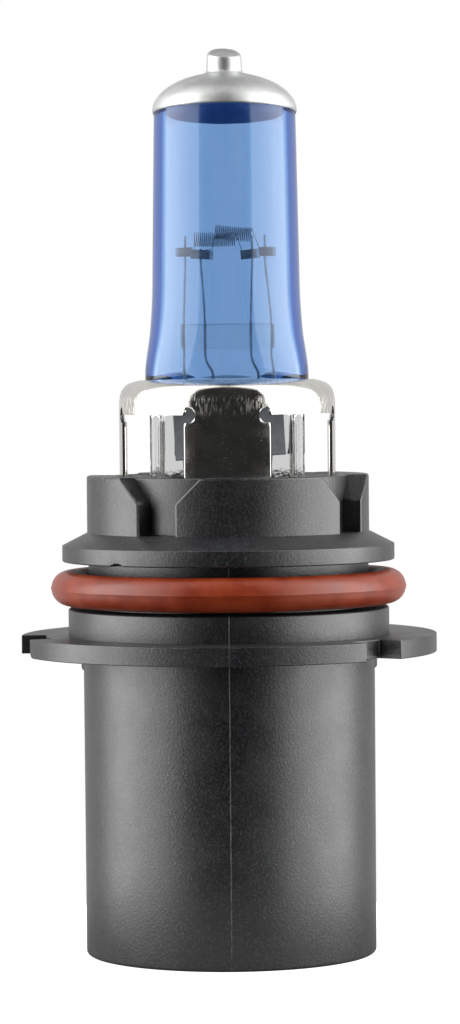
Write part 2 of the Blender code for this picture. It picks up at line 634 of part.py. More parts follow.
def filament(name, first, last, turns, left_leg, right_leg):
    """A coil from first to last, with a straight leg at each end down to its crimp."""
    first, last = Vector(first), Vector(last)
    along = (last - first).normalized()
    side = along.cross(Vector((0, 0, 1))).normalized()
    up = side.cross(along)
    steps = 9
    points = [Vector(left_leg)]
    for k in range(turns * steps + 1):
        angle = 2 * math.pi * k / steps
        centre = first.lerp(last, k / (turns * steps))
        points.append(centre + COIL_R * (up * math.cos(angle) + side * math.sin(angle)))
    points.append(Vector(right_leg))
    return wire(name, points, COIL_WIRE_R, 4, "tungsten")


def capsule_insides():
    for side, circuit in (("left", "high_beam"), ("middle", "low_beam"), ("right", "common")):
        foil(side, circuit)
        lead(side, circuit)
        blade(side, circuit)
    for name in POSTS:
        post(name)
    glass_bridge()
    low_z, high_z = 69.62 * MM, 69.95 * MM
    crimp("low_beam_crimp", -1.25 * MM, -3.45 * MM, FRONT_COIL_Y, low_z)
    crimp("low_beam_return_crimp", 3.3 * MM, 1.46 * MM, FRONT_COIL_Y, low_z)
    crimp("high_beam_crimp", -5.2 * MM, -3.4 * MM, REAR_COIL_Y, high_z)
    crimp("high_beam_return_crimp", 5.2 * MM, 3.35 * MM, REAR_COIL_Y, high_z)
    leg_z = low_z + 0.35 * MM
    filament("low_beam_filament", (-3.05 * MM, FRONT_COIL_Y, 71.57 * MM), (0.9 * MM, FRONT_COIL_Y, 71.57 * MM), 14,
             (-3.12 * MM, FRONT_COIL_Y + 0.1 * MM, leg_z), (1.75 * MM, FRONT_COIL_Y, leg_z))
    filament("high_beam_filament", (-1.0 * MM, REAR_COIL_Y, 72.38 * MM), (2.55 * MM, REAR_COIL_Y, 72.08 * MM), 13,
             (-3.6 * MM, REAR_COIL_Y, high_z + 0.4 * MM), (3.55 * MM, REAR_COIL_Y, high_z + 0.4 * MM))


def main():
    clear_scene()
    base_housing()
    sealing_ring()
    potting()
    holder_cage()
    seal_clip()
    glass_envelope()
    exhaust_seal()
    top_coating()
    capsule_insides()


main()
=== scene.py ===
"""Looks of the headlight bulb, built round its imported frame.

Metres, +Z up the bulb's axis. A bearing is an angle about Z in degrees, 0 towards
the front (-Y) and 90 towards +X, as in the frame.
"""

import math

import bmesh
import bpy
from mathutils import Matrix, Vector, noise


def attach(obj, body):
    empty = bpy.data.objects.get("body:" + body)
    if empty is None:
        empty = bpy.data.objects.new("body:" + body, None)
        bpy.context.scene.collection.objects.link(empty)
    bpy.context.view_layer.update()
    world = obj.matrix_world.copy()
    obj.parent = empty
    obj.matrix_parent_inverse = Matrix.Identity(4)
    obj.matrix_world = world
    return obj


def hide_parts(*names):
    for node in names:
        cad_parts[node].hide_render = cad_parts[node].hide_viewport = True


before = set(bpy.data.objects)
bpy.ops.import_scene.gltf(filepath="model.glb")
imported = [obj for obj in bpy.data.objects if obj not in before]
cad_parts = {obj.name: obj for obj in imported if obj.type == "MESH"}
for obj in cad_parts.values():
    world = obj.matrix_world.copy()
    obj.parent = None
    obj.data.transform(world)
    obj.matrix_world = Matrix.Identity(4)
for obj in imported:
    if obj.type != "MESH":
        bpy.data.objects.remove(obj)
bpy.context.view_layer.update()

MM = 0.001
BODY = "root"

# Base moulding
SKIRT_R = 14.62 * MM
SKIRT_BORE_R = 12.95 * MM
LUG_R = 14.85 * MM
LUG_Z = 28.6 * MM
LUG_HALF = 7.0
FLANGE_R = 20.84 * MM
FLANGE_Z = 30.25 * MM
FLANGE_TOP = 32.1 * MM
NOTCH_FLOOR_R = 18.3 * MM
FLANGE_LOBES = ((-71.0, 39.7), (53.5, 152.6), (164.0, 270.4))
FLANGE_INNER_R = 13.6 * MM
FLANGE_CORNER = 0.7 * MM
COLLAR_R = 16.1 * MM
COLLAR_TOP = 34.8 * MM
NECK_R = 14.05 * MM
RING_R = 16.67 * MM
RING_Z = 39.5 * MM
RING_RIM_TOP = 41.1 * MM
RING_TOP = 42.4 * MM
HUB_R = 14.15 * MM
HUB_CORE_R = 12.2 * MM
HUB_TOP = 48.06 * MM
HUB_CHAMFER_Z = 45.56 * MM
HUB_PADS = ((-21.5, 51.5), (68.5, 141.5), (158.5, 231.5), (248.5, 321.5))
HUB_FLARE = 10.5
WELL_R = 11.15 * MM
WELL_FLOOR = 31.0 * MM
WEB_Z = 28.0 * MM
BLADES = ((-8.0 * MM, 0.0), (0.0, 1.5 * MM), (8.0 * MM, 0.0))
KEY_RIB_BEARINGS = (-38.0, 38.0, 142.0)
KEY_RIB_HALF = 3.0
LUG_BEARINGS = (90.0, 270.0)
FLASH_HEIGHT = 0.045 * MM
NICK = (317, 321)
NICK_HEIGHT = 0.22 * MM
NICK_DEPTH = 0.05 * MM

# Sealing ring
SEAL_SECTION_R = 1.75 * MM
SEAL_R = 16.1 * MM
SEAL_Z = 36.85 * MM
SEAM_HEIGHT = 0.06 * MM

# Cage and clip
CAGE_R = 10.83 * MM
SHEET = 0.35 * MM
CAGE_SKIRT_Z = 54.2 * MM
CAGE_FOOT_Z = 38.5 * MM
LEGS = ((0.0, 22.7), (90.0, 16.5), (180.0, 22.7), (270.0, 16.5))
RELIEF_R = 0.76 * MM
RELIEF_Z = 54.17 * MM
RELIEF_INSET = 1.9
LEG_FLATNESS = 0.16
CAGE_SLOT = (8.65 * MM, 6.55 * MM)
CAGE_SLOT_POWER = 2.4
BEND_FOOT = (53.6 * MM, 54.6 * MM)
BEND_HEAD = (56.4 * MM, 55.6 * MM)
CROWN_FADE = (56.6 * MM, 57.3 * MM)
CLIP_R = 9.95 * MM
CLIP_TOP = 56.35 * MM
CLIP_SLOT = (8.3 * MM, 2.75 * MM)
CLIP_TONGUE_HALF = 5.5 * MM
CLIP_TONGUE_Z = 49.8 * MM
CLIP_TILT = 2.8

# Glass capsule
TUBE_TOP_R = 7.08 * MM
WALL = 1.1 * MM
DOME_Z = 84.4 * MM
DOME_RISE = 3.75 * MM
STUB_R = 1.55 * MM
STUB_TOP = 89.7 * MM
STUB_FILLET_R = 1.75 * MM
TIP_START_Z = 89.6 * MM
TIP_TOP = 90.77 * MM
BORE_R = 0.5 * MM
COAT_GAP = 0.05 * MM
COAT_THICK = 0.11 * MM
COAT_EDGE_Z = 84.2 * MM
COAT_EDGE_TILT = 5.4
COAT_LINING_ROWS = 5
COAT_SKIRT_TOP = 85.9 * MM
COAT_TOP = 90.79 * MM
TINT_FOOT_Z = 56.3 * MM

# Posts, bridge, crimps and filaments
FRONT_COIL_Y = -1.5 * MM
REAR_COIL_Y = 1.4 * MM
POST_R = 0.15 * MM
BRIDGE_Z = (60.7 * MM, 63.3 * MM)
BRIDGE_X = (-4.85 * MM, 5.1 * MM)
BRIDGE_HALF_DEPTH = 0.85 * MM
COIL_R = 0.7 * MM
COIL_WIRE_R = 0.035 * MM
CRIMP_HEIGHT = 0.9 * MM
CRIMP_SHEET = 0.16 * MM
CRIMP_DEPTH = 1.02 * MM

# Light tent: how bright it is on each side, and as seen by rays that have passed through glass.
# GAP_EDGE_SHARE is how much of the sides' light is left beside the dark gap in front.
SIDE_LIGHT = 5.2
GAP_EDGE_SHARE = 0.5
TOP_LIGHT = 1.7
BACK_LIGHT = 0.66
REAR_TOP_LIGHT = 0.15
GAP_LIGHT = 0.025
LOW_LIGHT = 0.3
THROUGH_LIGHT = 1.05
THROUGH_TOP = 0.9
THROUGH_GAP = 0.12
# Where they fade into each other: the cosine of the angle from the front, or the sine of the height
BACK_EDGE = (-0.45, -0.25)
GAP_EDGE = (0.715, 0.765)
ROOF_EDGE = (0.60, 0.95)
ROOF_BACK_EDGE = (0.45, 0.80)
FOOT_EDGE = (-0.45, -0.20)
THROUGH_BACK_EDGE = (-0.85, -0.55)
THROUGH_GAP_EDGE = (0.60, 0.80)
FLOOR_R = 40 * MM
FLOOR_DEPTH = 2 * MM

# Camera
CAMERA_PLACE = (0.0, -413.7 * MM, 59.5 * MM)
CAMERA_AIM = (0.2 * MM, 0.0, 44.3 * MM)
CAMERA_LENS = 145.0
CAMERA_ROLL = 0.5


# ---- Mesh helpers -----------------------------------------------------------------------


def at_bearing(radius, bearing, z):
    angle = math.radians(bearing)
    return Vector((radius * math.sin(angle), -radius * math.cos(angle), z))


def wobble(x, y, z, scale):
    """Smooth noise between about -1 and 1, with bumps of the given size in metres."""
    return noise.noise(Vector((x, y, z)) / scale)


def linked(bm, name):
    """An object in the scene that takes the bmesh's shape."""
    mesh = bpy.data.meshes.new(name)
    bm.to_mesh(mesh)
    bm.free()
    obj = bpy.data.objects.new(name, mesh)
    bpy.context.scene.collection.objects.link(obj)
    return obj


def object_from(bm, name):
    """An object from a closed bmesh, with its faces pointing out."""
    bmesh.ops.recalc_face_normals(bm, faces=bm.faces)
    if bm.calc_volume(signed=True) < 0:
        bmesh.ops.reverse_faces(bm, faces=bm.faces)
    return linked(bm, name)


def bevel(obj, width, segments=3, angle=28):
    modifier = obj.modifiers.new("edge", "BEVEL")
    modifier.width = width
    modifier.segments = segments
    modifier.limit_method = "ANGLE"
    modifier.angle_limit = math.radians(angle)
    modifier.miter_outer = "MITER_ARC"


def boolean(obj, other, operation):
    modifier = obj.modifiers.new(other.name, "BOOLEAN")
    modifier.operation = operation
    modifier.object = other


def applied(obj, smooth=32, even=False):
    """Applies the modifiers, removes the shapes they used, and shades round parts smooth.
    even keeps large faces from being shaded by the small ones beside them."""
    used = [m.object for m in obj.modifiers if m.type == "BOOLEAN"]
    graph = bpy.context.evaluated_depsgraph_get()
    mesh = bpy.data.meshes.new_from_object(obj.evaluated_get(graph))
    obj.modifiers.clear()
    obj.data = mesh
    for other in used:
        bpy.data.objects.remove(other)
    mesh.shade_smooth()
    mesh.set_sharp_from_angle(angle=math.radians(smooth))
    if even:
        weighted = obj.modifiers.new("normals", "WEIGHTED_NORMAL")
        weighted.keep_sharp = True
    return obj


def piece(obj, material, slot, *nodes):
    """Dresses a finished object as the piece that stands for those nodes."""
    if material:
        obj.data.materials.clear()
        obj.data.materials.append(material)
    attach(obj, BODY)
    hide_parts(*nodes)
    return obj


def fillet(corners, steps=4):
    """A (radius, z) profile whose corners (radius, z, rounding) are rounded by arcs."""
    profile = []
    last = len(corners) - 1
    for i, (r, z, rounding) in enumerate(corners):
        if rounding == 0 or i in (0, last):
            profile.append((r, z))
            continue
        here = Vector((r, z))
        before = Vector(corners[i - 1][:2]) - here
        after = Vector(corners[i + 1][:2]) - here
        half_angle = before.angle(after) / 2
        reach = min(rounding / math.tan(half_angle), before.length * 0.49, after.length * 0.49)
        radius = reach * math.tan(half_angle)
        first, final = here + before.normalized() * reach, here + after.normalized() * reach
        middle = (before.normalized() + after.normalized()).normalized()
        centre = here + middle * radius / math.sin(half_angle)
        for k in range(steps + 1):
            spoke = (first - centre).lerp(final - centre, k / steps).normalized()
            profile.append(tuple(centre + spoke * radius))
    return profile


def revolved(name, profile, bearings, shift=None):
    """A solid of revolution with a column at each bearing. A profile that doesn't start and
    end on the axis is joined into a ring. shift moves each point (radius, bearing, z)."""
    bm = bmesh.new()
    rows = []
    for r, z in profile:
        if r == 0:
            rows.append([bm.verts.new((0, 0, z))] * len(bearings))
        else:
            points = [(r, b, z) for b in bearings]
            if shift:
                points = [shift(*p) for p in points]
            rows.append([bm.verts.new(at_bearing(*p)) for p in points])
    if profile[0][0] or profile[-1][0]:
        rows.append(rows[0])
    count = len(bearings)
    for first, second in zip(rows, rows[1:]):
        for i in range(count):
            j = (i + 1) % count
            bm.faces.new(list(dict.fromkeys((first[i], first[j], second[j], second[i]))))
    return object_from(bm, name)


def even_bearings(count):
    return [360 * k / count for k in range(count)]


def skin(bm, loops):
    """Faces all the way round between each loop of vertices and the next."""
    count = len(loops[0])
    for lower, upper in zip(loops, loops[1:]):
        for i in range(count):
            j = (i + 1) % count
            bm.faces.new((lower[i], lower[j], upper[j], upper[i]))


def lofted(name, rings):
    """A solid through rings of equally many points, closed by a face at each end."""
    bm = bmesh.new()
    loops = [[bm.verts.new(point) for point in ring] for ring in rings]
    skin(bm, loops)
    bm.faces.new(loops[0])
    bm.faces.new(loops[-1])
    return object_from(bm, name)


def box(name, low, high):
    bm = bmesh.new()
    size = Vector(high) - Vector(low)
    middle = (Vector(high) + Vector(low)) / 2
    bmesh.ops.create_cube(bm, size=1, matrix=Matrix.Translation(middle) @ Matrix.Diagonal((*size, 1)))
    return object_from(bm, name)


def smooth_path(points, steps):
    """A Catmull-Rom curve through points of any number of values."""
    knots = [Vector(p) for p in points]
    knots = [2 * knots[0] - knots[1], *knots, 2 * knots[-1] - knots[-2]]
    path = []
    for a, b, c, d in zip(knots, knots[1:], knots[2:], knots[3:]):
        for k in range(steps):
            t = k / steps
            path.append(0.5 * (2 * b + (c - a) * t + (2 * a - 5 * b + 4 * c - d) * t**2
                               + (3 * b - a - 3 * c + d) * t**3))
    return [*path, knots[-2]]


def wire(name, path, radius, sides):
    """A round wire along the path, rounded at both ends and carried forward without twisting."""
    path = [Vector(p) for p in path]
    count = len(path)
    rings = []
    across = None
    for i, point in enumerate(path):
        along = (path[min(i + 1, count - 1)] - path[max(i - 1, 0)]).normalized()
        across = along.orthogonal() if across is None else across
        across = (across - along * across.dot(along)).normalized()
        up = along.cross(across)
        spokes = [across * math.cos(2 * math.pi * k / sides) + up * math.sin(2 * math.pi * k / sides)
                  for k in range(sides)]
        if i == 0:
            rings.append([point + 0.6 * radius * spoke for spoke in spokes])
            point = point + along * 0.25 * radius
        if i == count - 1:
            rings.append([point - along * 0.25 * radius + radius * spoke for spoke in spokes])
            rings.append([point + 0.6 * radius * spoke for spoke in spokes])
        else:
            rings.append([point + radius * spoke for spoke in spokes])
    return lofted(name, rings)


# ---- Material helpers -------------------------------------------------------------------


class Nodes:
    """Short ways to add nodes to a tree, for a material or for the world."""

    def __init__(self, tree):
        self.tree = tree

    def node(self, kind, inputs=None, **settings):
        """A new node. Each input is a value, or another node's socket to link."""
        made = self.tree.nodes.new(kind)
        for key, value in settings.items():
            setattr(made, key, value)
        for key, value in (inputs or {}).items():
            if isinstance(value, bpy.types.NodeSocket):
                self.tree.links.new(value, made.inputs[key])
            else:
                made.inputs[key].default_value = value
        return made

    def math(self, operation, a, b=0.0, c=0.0):
        return self.node("ShaderNodeMath", {0: a, 1: b, 2: c}, operation=operation).outputs[0]

    def times(self, a, b):
        return self.math("MULTIPLY", a, b)

    def ramp(self, value, low, high, out_low=0.0, out_high=1.0):
        """value taken from low..high to out_low..out_high, smoothly and clamped."""
        inputs = {"Value": value, "From Min": low, "From Max": high, "To Min": out_low, "To Max": out_high}
        return self.node("ShaderNodeMapRange", inputs, interpolation_type="SMOOTHSTEP").outputs["Result"]

    def between(self, factor, a, b):
        """a where factor is 0 and b where it is 1."""
        return self.node("ShaderNodeMix", {0: factor, 2: a, 3: b}, data_type="FLOAT").outputs[0]

    def axes(self, place):
        """The x, y and z of a place, and its distance from the Z axis."""
        parts = self.node("ShaderNodeSeparateXYZ", {0: place})
        x, y, z = (parts.outputs[i] for i in range(3))
        return x, y, z, self.math("SQRT", self.math("ADD", self.times(x, x), self.times(y, y)))


class Finish(Nodes):
    """A Principled material and short ways to add the nodes behind its sockets."""

    def __init__(self, name, **values):
        self.material = bpy.data.materials.new(name)
        self.material.use_nodes = True
        super().__init__(self.material.node_tree)
        self.shader = self.tree.nodes["Principled BSDF"]
        for key, value in values.items():
            self.shader.inputs[key.replace("_", " ")].default_value = value
        self.place = self.node("ShaderNodeTexCoord").outputs["Object"]

    def noise(self, size, detail=2.0, stretch=(1, 1, 1), roughness=0.5):
        """Noise from 0 to 1 with bumps of that size, longer along an axis with less stretch."""
        place = self.node("ShaderNodeVectorMath", {0: self.place, 1: stretch}, operation="MULTIPLY")
        inputs = {"Vector": place.outputs[0], "Scale": 1 / size, "Detail": detail, "Roughness": roughness}
        return self.node("ShaderNodeTexNoise", inputs).outputs["Fac"]

    def blend(self, factor, first, second):
        mix = self.node("ShaderNodeMix", data_type="RGBA")
        for index, value in ((0, factor), (6, first), (7, second)):
            if isinstance(value, bpy.types.NodeSocket):
                self.tree.links.new(value, mix.inputs[index])
            elif index == 0:
                mix.inputs[index].default_value = value
            else:
                mix.inputs[index].default_value = (*value, 1.0)
        return mix.outputs[2]

    def mottled(self, noise_value, first, second):
        """Two colours in soft patches that follow the noise."""
        return self.blend(self.ramp(noise_value, 0.3, 0.7), first, second)

    def dotted(self, base, size, edge, share, colour, detail=1):
        """The base colour with dots of another, where noise of that size passes the edge."""
        dots = self.ramp(self.noise(size, detail), *edge, 0.0, share)
        return self.blend(dots, base, colour)

    def band(self, value, centre, half):
        """1 where value is within half of centre, falling to 0 just outside."""
        away = self.math("ABSOLUTE", self.math("SUBTRACT", value, centre))
        return self.ramp(away, half * 0.6, half * 1.4, 1.0, 0.0)

    def colour(self, socket):
        self.tree.links.new(socket, self.shader.inputs["Base Color"])

    def roughness(self, socket):
        self.tree.links.new(socket, self.shader.inputs["Roughness"])

    def bump(self, height, depth, strength=1.0):
        """Relief of that depth in metres, laid over any added before."""
        inputs = {"Height": height, "Distance": depth, "Strength": strength}
        link = self.shader.inputs["Normal"].links
        if link:
            inputs["Normal"] = link[0].from_socket
        made = self.node("ShaderNodeBump", inputs)
        self.tree.links.new(made.outputs[0], self.shader.inputs["Normal"])


def housing_plastic():
    """Fine-grained dark grey moulded nylon with pale specks, dusty edges and a flash line."""
    f = Finish("moulded_plastic", Roughness=0.36, Specular_IOR_Level=0.85)
    x, y, z, r = f.axes(f.place)
    mottle = f.noise(3.2 * MM, 5)
    grain = f.noise(0.22 * MM, 4)
    base = f.blend(f.ramp(mottle, 0.35, 0.68), (0.0026, 0.0031, 0.0042), (0.0056, 0.0062, 0.0074))
    base = f.blend(f.ramp(grain, 0.48, 0.64, 0.0, 0.75), base, (0.030, 0.031, 0.033))
    base = f.dotted(base, 0.22 * MM, (0.765, 0.80), 0.5, (0.17, 0.165, 0.15))
    flash_noise = f.ramp(f.noise(0.8 * MM, 3), 0.42, 0.58, 0.15, 0.55)
    front = f.times(f.ramp(y, 0.0, -5 * MM), f.ramp(z, 39.6 * MM, 39.3 * MM))
    flash = f.times(f.times(f.band(x, 0.0, 0.05 * MM), front), flash_noise)
    base = f.blend(flash, base, (0.13, 0.125, 0.115))
    rim = f.times(f.band(z, FLANGE_TOP - 0.04 * MM, 0.06 * MM), f.ramp(r, 20.4 * MM, 20.6 * MM))
    pads = f.times(f.band(z, HUB_TOP - 0.06 * MM, 0.09 * MM), f.ramp(r, 13.8 * MM, 14.0 * MM))
    dust = f.ramp(f.noise(0.5 * MM, 5), 0.54, 0.66)
    edges = f.times(f.math("MAXIMUM", rim, pads), dust)
    base = f.blend(f.times(edges, 0.45), base, (0.16, 0.145, 0.12))
    f.colour(base)
    f.roughness(f.ramp(mottle, 0.3, 0.7, 0.36, 0.42))
    f.bump(grain, 0.027 * MM, 0.9)
    f.bump(f.noise(0.05 * MM, 1), 0.0012 * MM, 0.6)
    return f.material


def red_silicone():
    """Satin brick-red silicone with a paler bloom, dust specks and painted shade on its inner side, next
    to the neck.
    """
    f = Finish("red_silicone", Roughness=0.38, Specular_IOR_Level=0.48)
    _, _, _, r = f.axes(f.place)
    cloud = f.noise(2.4 * MM, 5)
    base = f.blend(f.ramp(cloud, 0.35, 0.66), (0.185, 0.0195, 0.0030), (0.250, 0.034, 0.0068))
    base = f.dotted(base, 0.28 * MM, (0.62, 0.78), 0.35, (0.36, 0.13, 0.085), 2)
    base = f.dotted(base, 0.16 * MM, (0.25, 0.22), 0.8, (0.05, 0.010, 0.006))
    # Painted shade: the ring's inner side, towards the neck, is darkened where the neck shades it.
    painted_neck_shade = f.ramp(r, 16.4 * MM, 15.2 * MM, 0.0, 0.75)
    base = f.blend(painted_neck_shade, base, (0.060, 0.011, 0.006))
    f.colour(base)
    f.roughness(f.ramp(cloud, 0.3, 0.7, 0.33, 0.43))
    f.bump(f.noise(0.5 * MM, 3), 0.004 * MM, 0.5)
    f.bump(f.noise(0.09 * MM, 1), 0.0015 * MM, 0.5)
    return f.material


def nickel_plate():
    """Bright nickel plate with drawing marks at the bend, pin specks and handling scratches."""
    f = Finish("nickel_plate", Metallic=1.0, Roughness=0.12)
    _, _, z, _ = f.axes(f.place)
    cloud = f.noise(1.8 * MM, 4)
    base = f.mottled(cloud, (0.74, 0.72, 0.67), (0.82, 0.80, 0.76))
    bend = f.times(f.ramp(z, *BEND_FOOT), f.ramp(z, *BEND_HEAD))
    drawn = f.noise(0.16 * MM, 4, (1, 1, 0.16))
    marks = f.times(bend, f.ramp(drawn, 0.46, 0.62))
    specks = f.ramp(f.noise(0.13 * MM, 1), 0.76, 0.80)
    base = f.blend(f.times(specks, 0.5), base, (0.45, 0.43, 0.38))
    dust = f.ramp(f.noise(0.11 * MM, 1), 0.745, 0.775)
    base = f.blend(dust, base, (0.30, 0.29, 0.26))
    f.colour(base)
    f.tree.links.new(f.math("SUBTRACT", 1.0, dust), f.shader.inputs["Metallic"])
    rough = f.ramp(cloud, 0.3, 0.7, 0.07, 0.15)
    rough = f.math("ADD", rough, f.times(marks, 0.22))
    rough = f.math("ADD", rough, f.times(specks, 0.35))
    crown = f.ramp(z, *CROWN_FADE, 0.0, 0.16)
    f.roughness(f.math("ADD", rough, crown))
    f.bump(f.times(drawn, bend), 0.016 * MM, 0.5)
    f.bump(f.noise(3.5 * MM, 2), 0.02 * MM, 0.15)
    f.bump(f.noise(0.12 * MM, 1), 0.002 * MM, 0.4)
    return f.material


def spring_steel():
    """Dark rolled spring steel with faint rolling lines."""
    f = Finish("spring_steel", Metallic=0.4, Roughness=0.5)
    lines = f.noise(0.12 * MM, 3, (1, 1, 0.08))
    cloud = f.noise(1.4 * MM, 4)
    base = f.mottled(cloud, (0.30, 0.325, 0.35), (0.38, 0.405, 0.43))
    f.colour(f.blend(f.ramp(lines, 0.45, 0.7, 0.0, 0.35), base, (0.46, 0.48, 0.51)))
    f.roughness(f.ramp(lines, 0.35, 0.65, 0.44, 0.56))
    f.bump(lines, 0.002 * MM, 0.5)
    return f.material


def tinned_brass():
    """Tin-plated brass with die lines along the blade and yellow metal at worn spots."""
    f = Finish("tinned_brass", Metallic=1.0, Roughness=0.3)
    lines = f.noise(0.2 * MM, 3, (1, 1, 0.06))
    cloud = f.noise(1.1 * MM, 4)
    base = f.mottled(cloud, (0.62, 0.60, 0.55), (0.74, 0.72, 0.67))
    f.colour(f.dotted(base, 0.7 * MM, (0.62, 0.72), 0.7, (0.66, 0.50, 0.22), 5))
    f.roughness(f.ramp(lines, 0.3, 0.7, 0.22, 0.38))
    f.bump(lines, 0.005 * MM, 0.6)
    return f.material


def potting_resin():
    """Poured dark resin with a slightly rippled skin and small bubbles."""
    f = Finish("potting_resin", Roughness=0.4)
    cloud = f.noise(1.6 * MM, 4)
    f.colour(f.mottled(cloud, (0.035, 0.031, 0.027), (0.066, 0.058, 0.048)))
    f.roughness(f.ramp(cloud, 0.3, 0.7, 0.32, 0.5))
    f.bump(f.noise(0.9 * MM, 3), 0.08 * MM, 0.5)
    cells = f.node("ShaderNodeTexVoronoi", {"Vector": f.place, "Scale": 1 / (1.1 * MM)})
    f.bump(f.ramp(cells.outputs["Distance"], 0.05, 0.16), 0.05 * MM, 0.5)
    return f.material


def silver_coat():
    """Sprayed aluminium coat: satin, with a fine grain and small dark pits."""
    f = Finish("silver_coat", Metallic=1.0, Roughness=0.3)
    grain = f.noise(0.14 * MM, 3)
    cloud = f.noise(1.5 * MM, 4)
    base = f.mottled(cloud, (0.50, 0.51, 0.50), (0.58, 0.59, 0.58))
    base = f.dotted(base, 0.12 * MM, (0.255, 0.225), 0.6, (0.30, 0.30, 0.29))
    f.colour(f.blend(f.ramp(grain, 0.55, 0.8, 0.0, 0.5), base, (0.80, 0.80, 0.80)))
    f.roughness(f.ramp(grain, 0.3, 0.7, 0.42, 0.50))
    f.bump(grain, 0.009 * MM, 0.8)
    return f.material


def coat_lining_painted_blue():
    """The coat's face against the glass: duller, and painted pale blue to stand for the light tinted by
    the glass round it.
    """
    f = Finish("coat_lining_painted_blue", Metallic=0.15, Roughness=0.42)
    cloud = f.noise(0.9 * MM, 4)
    # Painted light: the pale blue colour stands for tinted light through the glass, on a coat that is
    # really silver.
    f.colour(f.mottled(cloud, (0.50, 0.76, 0.97), (0.58, 0.82, 1.0)))
    f.roughness(f.ramp(cloud, 0.3, 0.7, 0.38, 0.48))
    f.bump(f.noise(0.14 * MM, 3), 0.003 * MM, 0.5)
    return f.material


def blue_glass():
    """Glass under a blue dip coat that runs a little thicker in long soft streaks."""
    f = Finish("blue_coated_glass", Transmission_Weight=1.0, Roughness=0.0, IOR=1.47)
    streaks = f.noise(1.6 * MM, 3, (1, 1, 0.12))
    base = f.mottled(streaks, (0.260, 0.505, 0.985), (0.290, 0.540, 0.995))
    facing = f.node("ShaderNodeLayerWeight", {"Blend": 0.5}).outputs["Facing"]
    base = f.blend(f.ramp(facing, 0.43, 0.54), base, (0.050, 0.105, 0.54))
    f.colour(f.dotted(base, 0.2 * MM, (0.225, 0.20), 0.5, (0.12, 0.25, 0.75)))
    f.bump(f.noise(4 * MM, 2, (1, 1, 0.25)), 0.02 * MM, 0.12)
    return f.material


def clear_glass(name="clear_glass"):
    """Clear fused glass, with the crinkles and tool marks of the press near the foot."""
    f = Finish(name, Transmission_Weight=1.0, Roughness=0.0, IOR=1.47)
    _, _, z, _ = f.axes(f.place)
    cloud = f.noise(1.2 * MM, 3)
    f.colour(f.mottled(cloud, (0.95, 0.965, 0.96), (0.985, 0.99, 0.985)))
    foot = f.ramp(z, 50.0 * MM, 47.5 * MM, 0.08, 1.0)
    pressed = f.times(foot, f.ramp(z, 56.5 * MM, 55.0 * MM))
    f.bump(f.times(f.noise(0.55 * MM, 4), pressed), 0.12 * MM, 0.7)
    return f.material


def molybdenum(name, dark, light, rough=0.34):
    """Drawn or rolled molybdenum with fine lines and heat-darkened patches."""
    f = Finish(name, Metallic=1.0, Roughness=rough)
    cloud = f.noise(0.9 * MM, 4)
    f.colour(f.mottled(cloud, dark, light))
    lines = f.noise(0.06 * MM, 2, (1, 1, 0.1))
    f.roughness(f.ramp(lines, 0.3, 0.7, rough - 0.08, rough + 0.08))
    f.bump(lines, 0.002 * MM, 0.4)
    return f.material


# ---- Base moulding ----------------------------------------------------------------------


def moulding_columns():
    """A column every two degrees, with close ones either side of the flash line."""
    ridge = [-0.42, -0.22, -0.10, 0.10, 0.22, 0.42]
    near = [b for b in even_bearings(180) if 1 < b < 179 or 181 < b < 359]
    return sorted([b % 360 for b in ridge] + [180 + b for b in ridge] + near)


def moulding_shift(r, bearing, z):
    """The raised flash line, front and back, and a nick in the cone ring's lower edge."""
    off = abs((bearing + 90) % 180 - 90)
    outside = r > 13.9 * MM and z < RING_Z
    if outside and off < 0.15:
        r += FLASH_HEIGHT * (1 + 0.6 * wobble(0, 0, z, 1.1 * MM))
    if abs(z - RING_Z) < 0.2 * MM and r > 16.2 * MM and NICK[0] < bearing < NICK[1]:
        z += NICK_HEIGHT
        r -= NICK_DEPTH
    return r, bearing, z


def flange():
    """The notched flange: an even inner ring, with three lobes standing out of it."""
    columns = []
    for (start, end), (next_start, _) in zip(FLANGE_LOBES, FLANGE_LOBES[1:] + FLANGE_LOBES[:1]):
        steps = int((end - start) / 2)
        lobe = [start + (end - start) * k / steps for k in range(steps + 1)]
        fine = [start + d for d in (0.25, 0.6, 1.1)] + [end - d for d in (1.1, 0.6, 0.25)]
        columns += [(b, True) for b in sorted({*lobe, *fine})]
        gap = (next_start - end) % 360
        columns += [(end + gap * k / 6, False) for k in range(1, 6)]
    lobe_ends = {round(bearing % 360, 3) for lobe in FLANGE_LOBES for bearing in lobe}
    bm = bmesh.new()
    grid = []
    for bearing, lobed in columns:
        foot = FLANGE_Z
        from_corner = (bearing - FLANGE_LOBES[0][0]) * math.radians(1) * FLANGE_R
        if 0 <= from_corner < FLANGE_CORNER:
            foot += FLANGE_CORNER - math.sqrt(FLANGE_CORNER**2 - (FLANGE_CORNER - from_corner) ** 2)
        cells = {}
        for level, r in (("in", FLANGE_INNER_R), ("mid", NOTCH_FLOOR_R), ("out", FLANGE_R)):
            if level == "out" and not lobed:
                continue
            low = foot if level == "out" else FLANGE_Z
            cells[level] = [bm.verts.new(at_bearing(r, bearing, z)) for z in (low, FLANGE_TOP)]
        grid.append((round(bearing % 360, 3), lobed, cells))
    for (bearing, lobed, a), (_, next_lobed, b) in zip(grid, grid[1:] + grid[:1]):
        strips = [("in", "mid")] + ([("mid", "out")] if lobed and next_lobed else [])
        for inner, outer in strips:
            for k in (0, 1):
                bm.faces.new((a[inner][k], a[outer][k], b[outer][k], b[inner][k]))
        bm.faces.new((a["in"][0], a["in"][1], b["in"][1], b["in"][0]))
        rim = strips[-1][1]
        bm.faces.new((a[rim][0], a[rim][1], b[rim][1], b[rim][0]))
        if bearing in lobe_ends:
            bm.faces.new((a["mid"][0], a["mid"][1], a["out"][1], a["out"][0]))
    obj = object_from(bm, "flange")
    bevel(obj, 0.16 * MM, 2)
    return applied(obj)


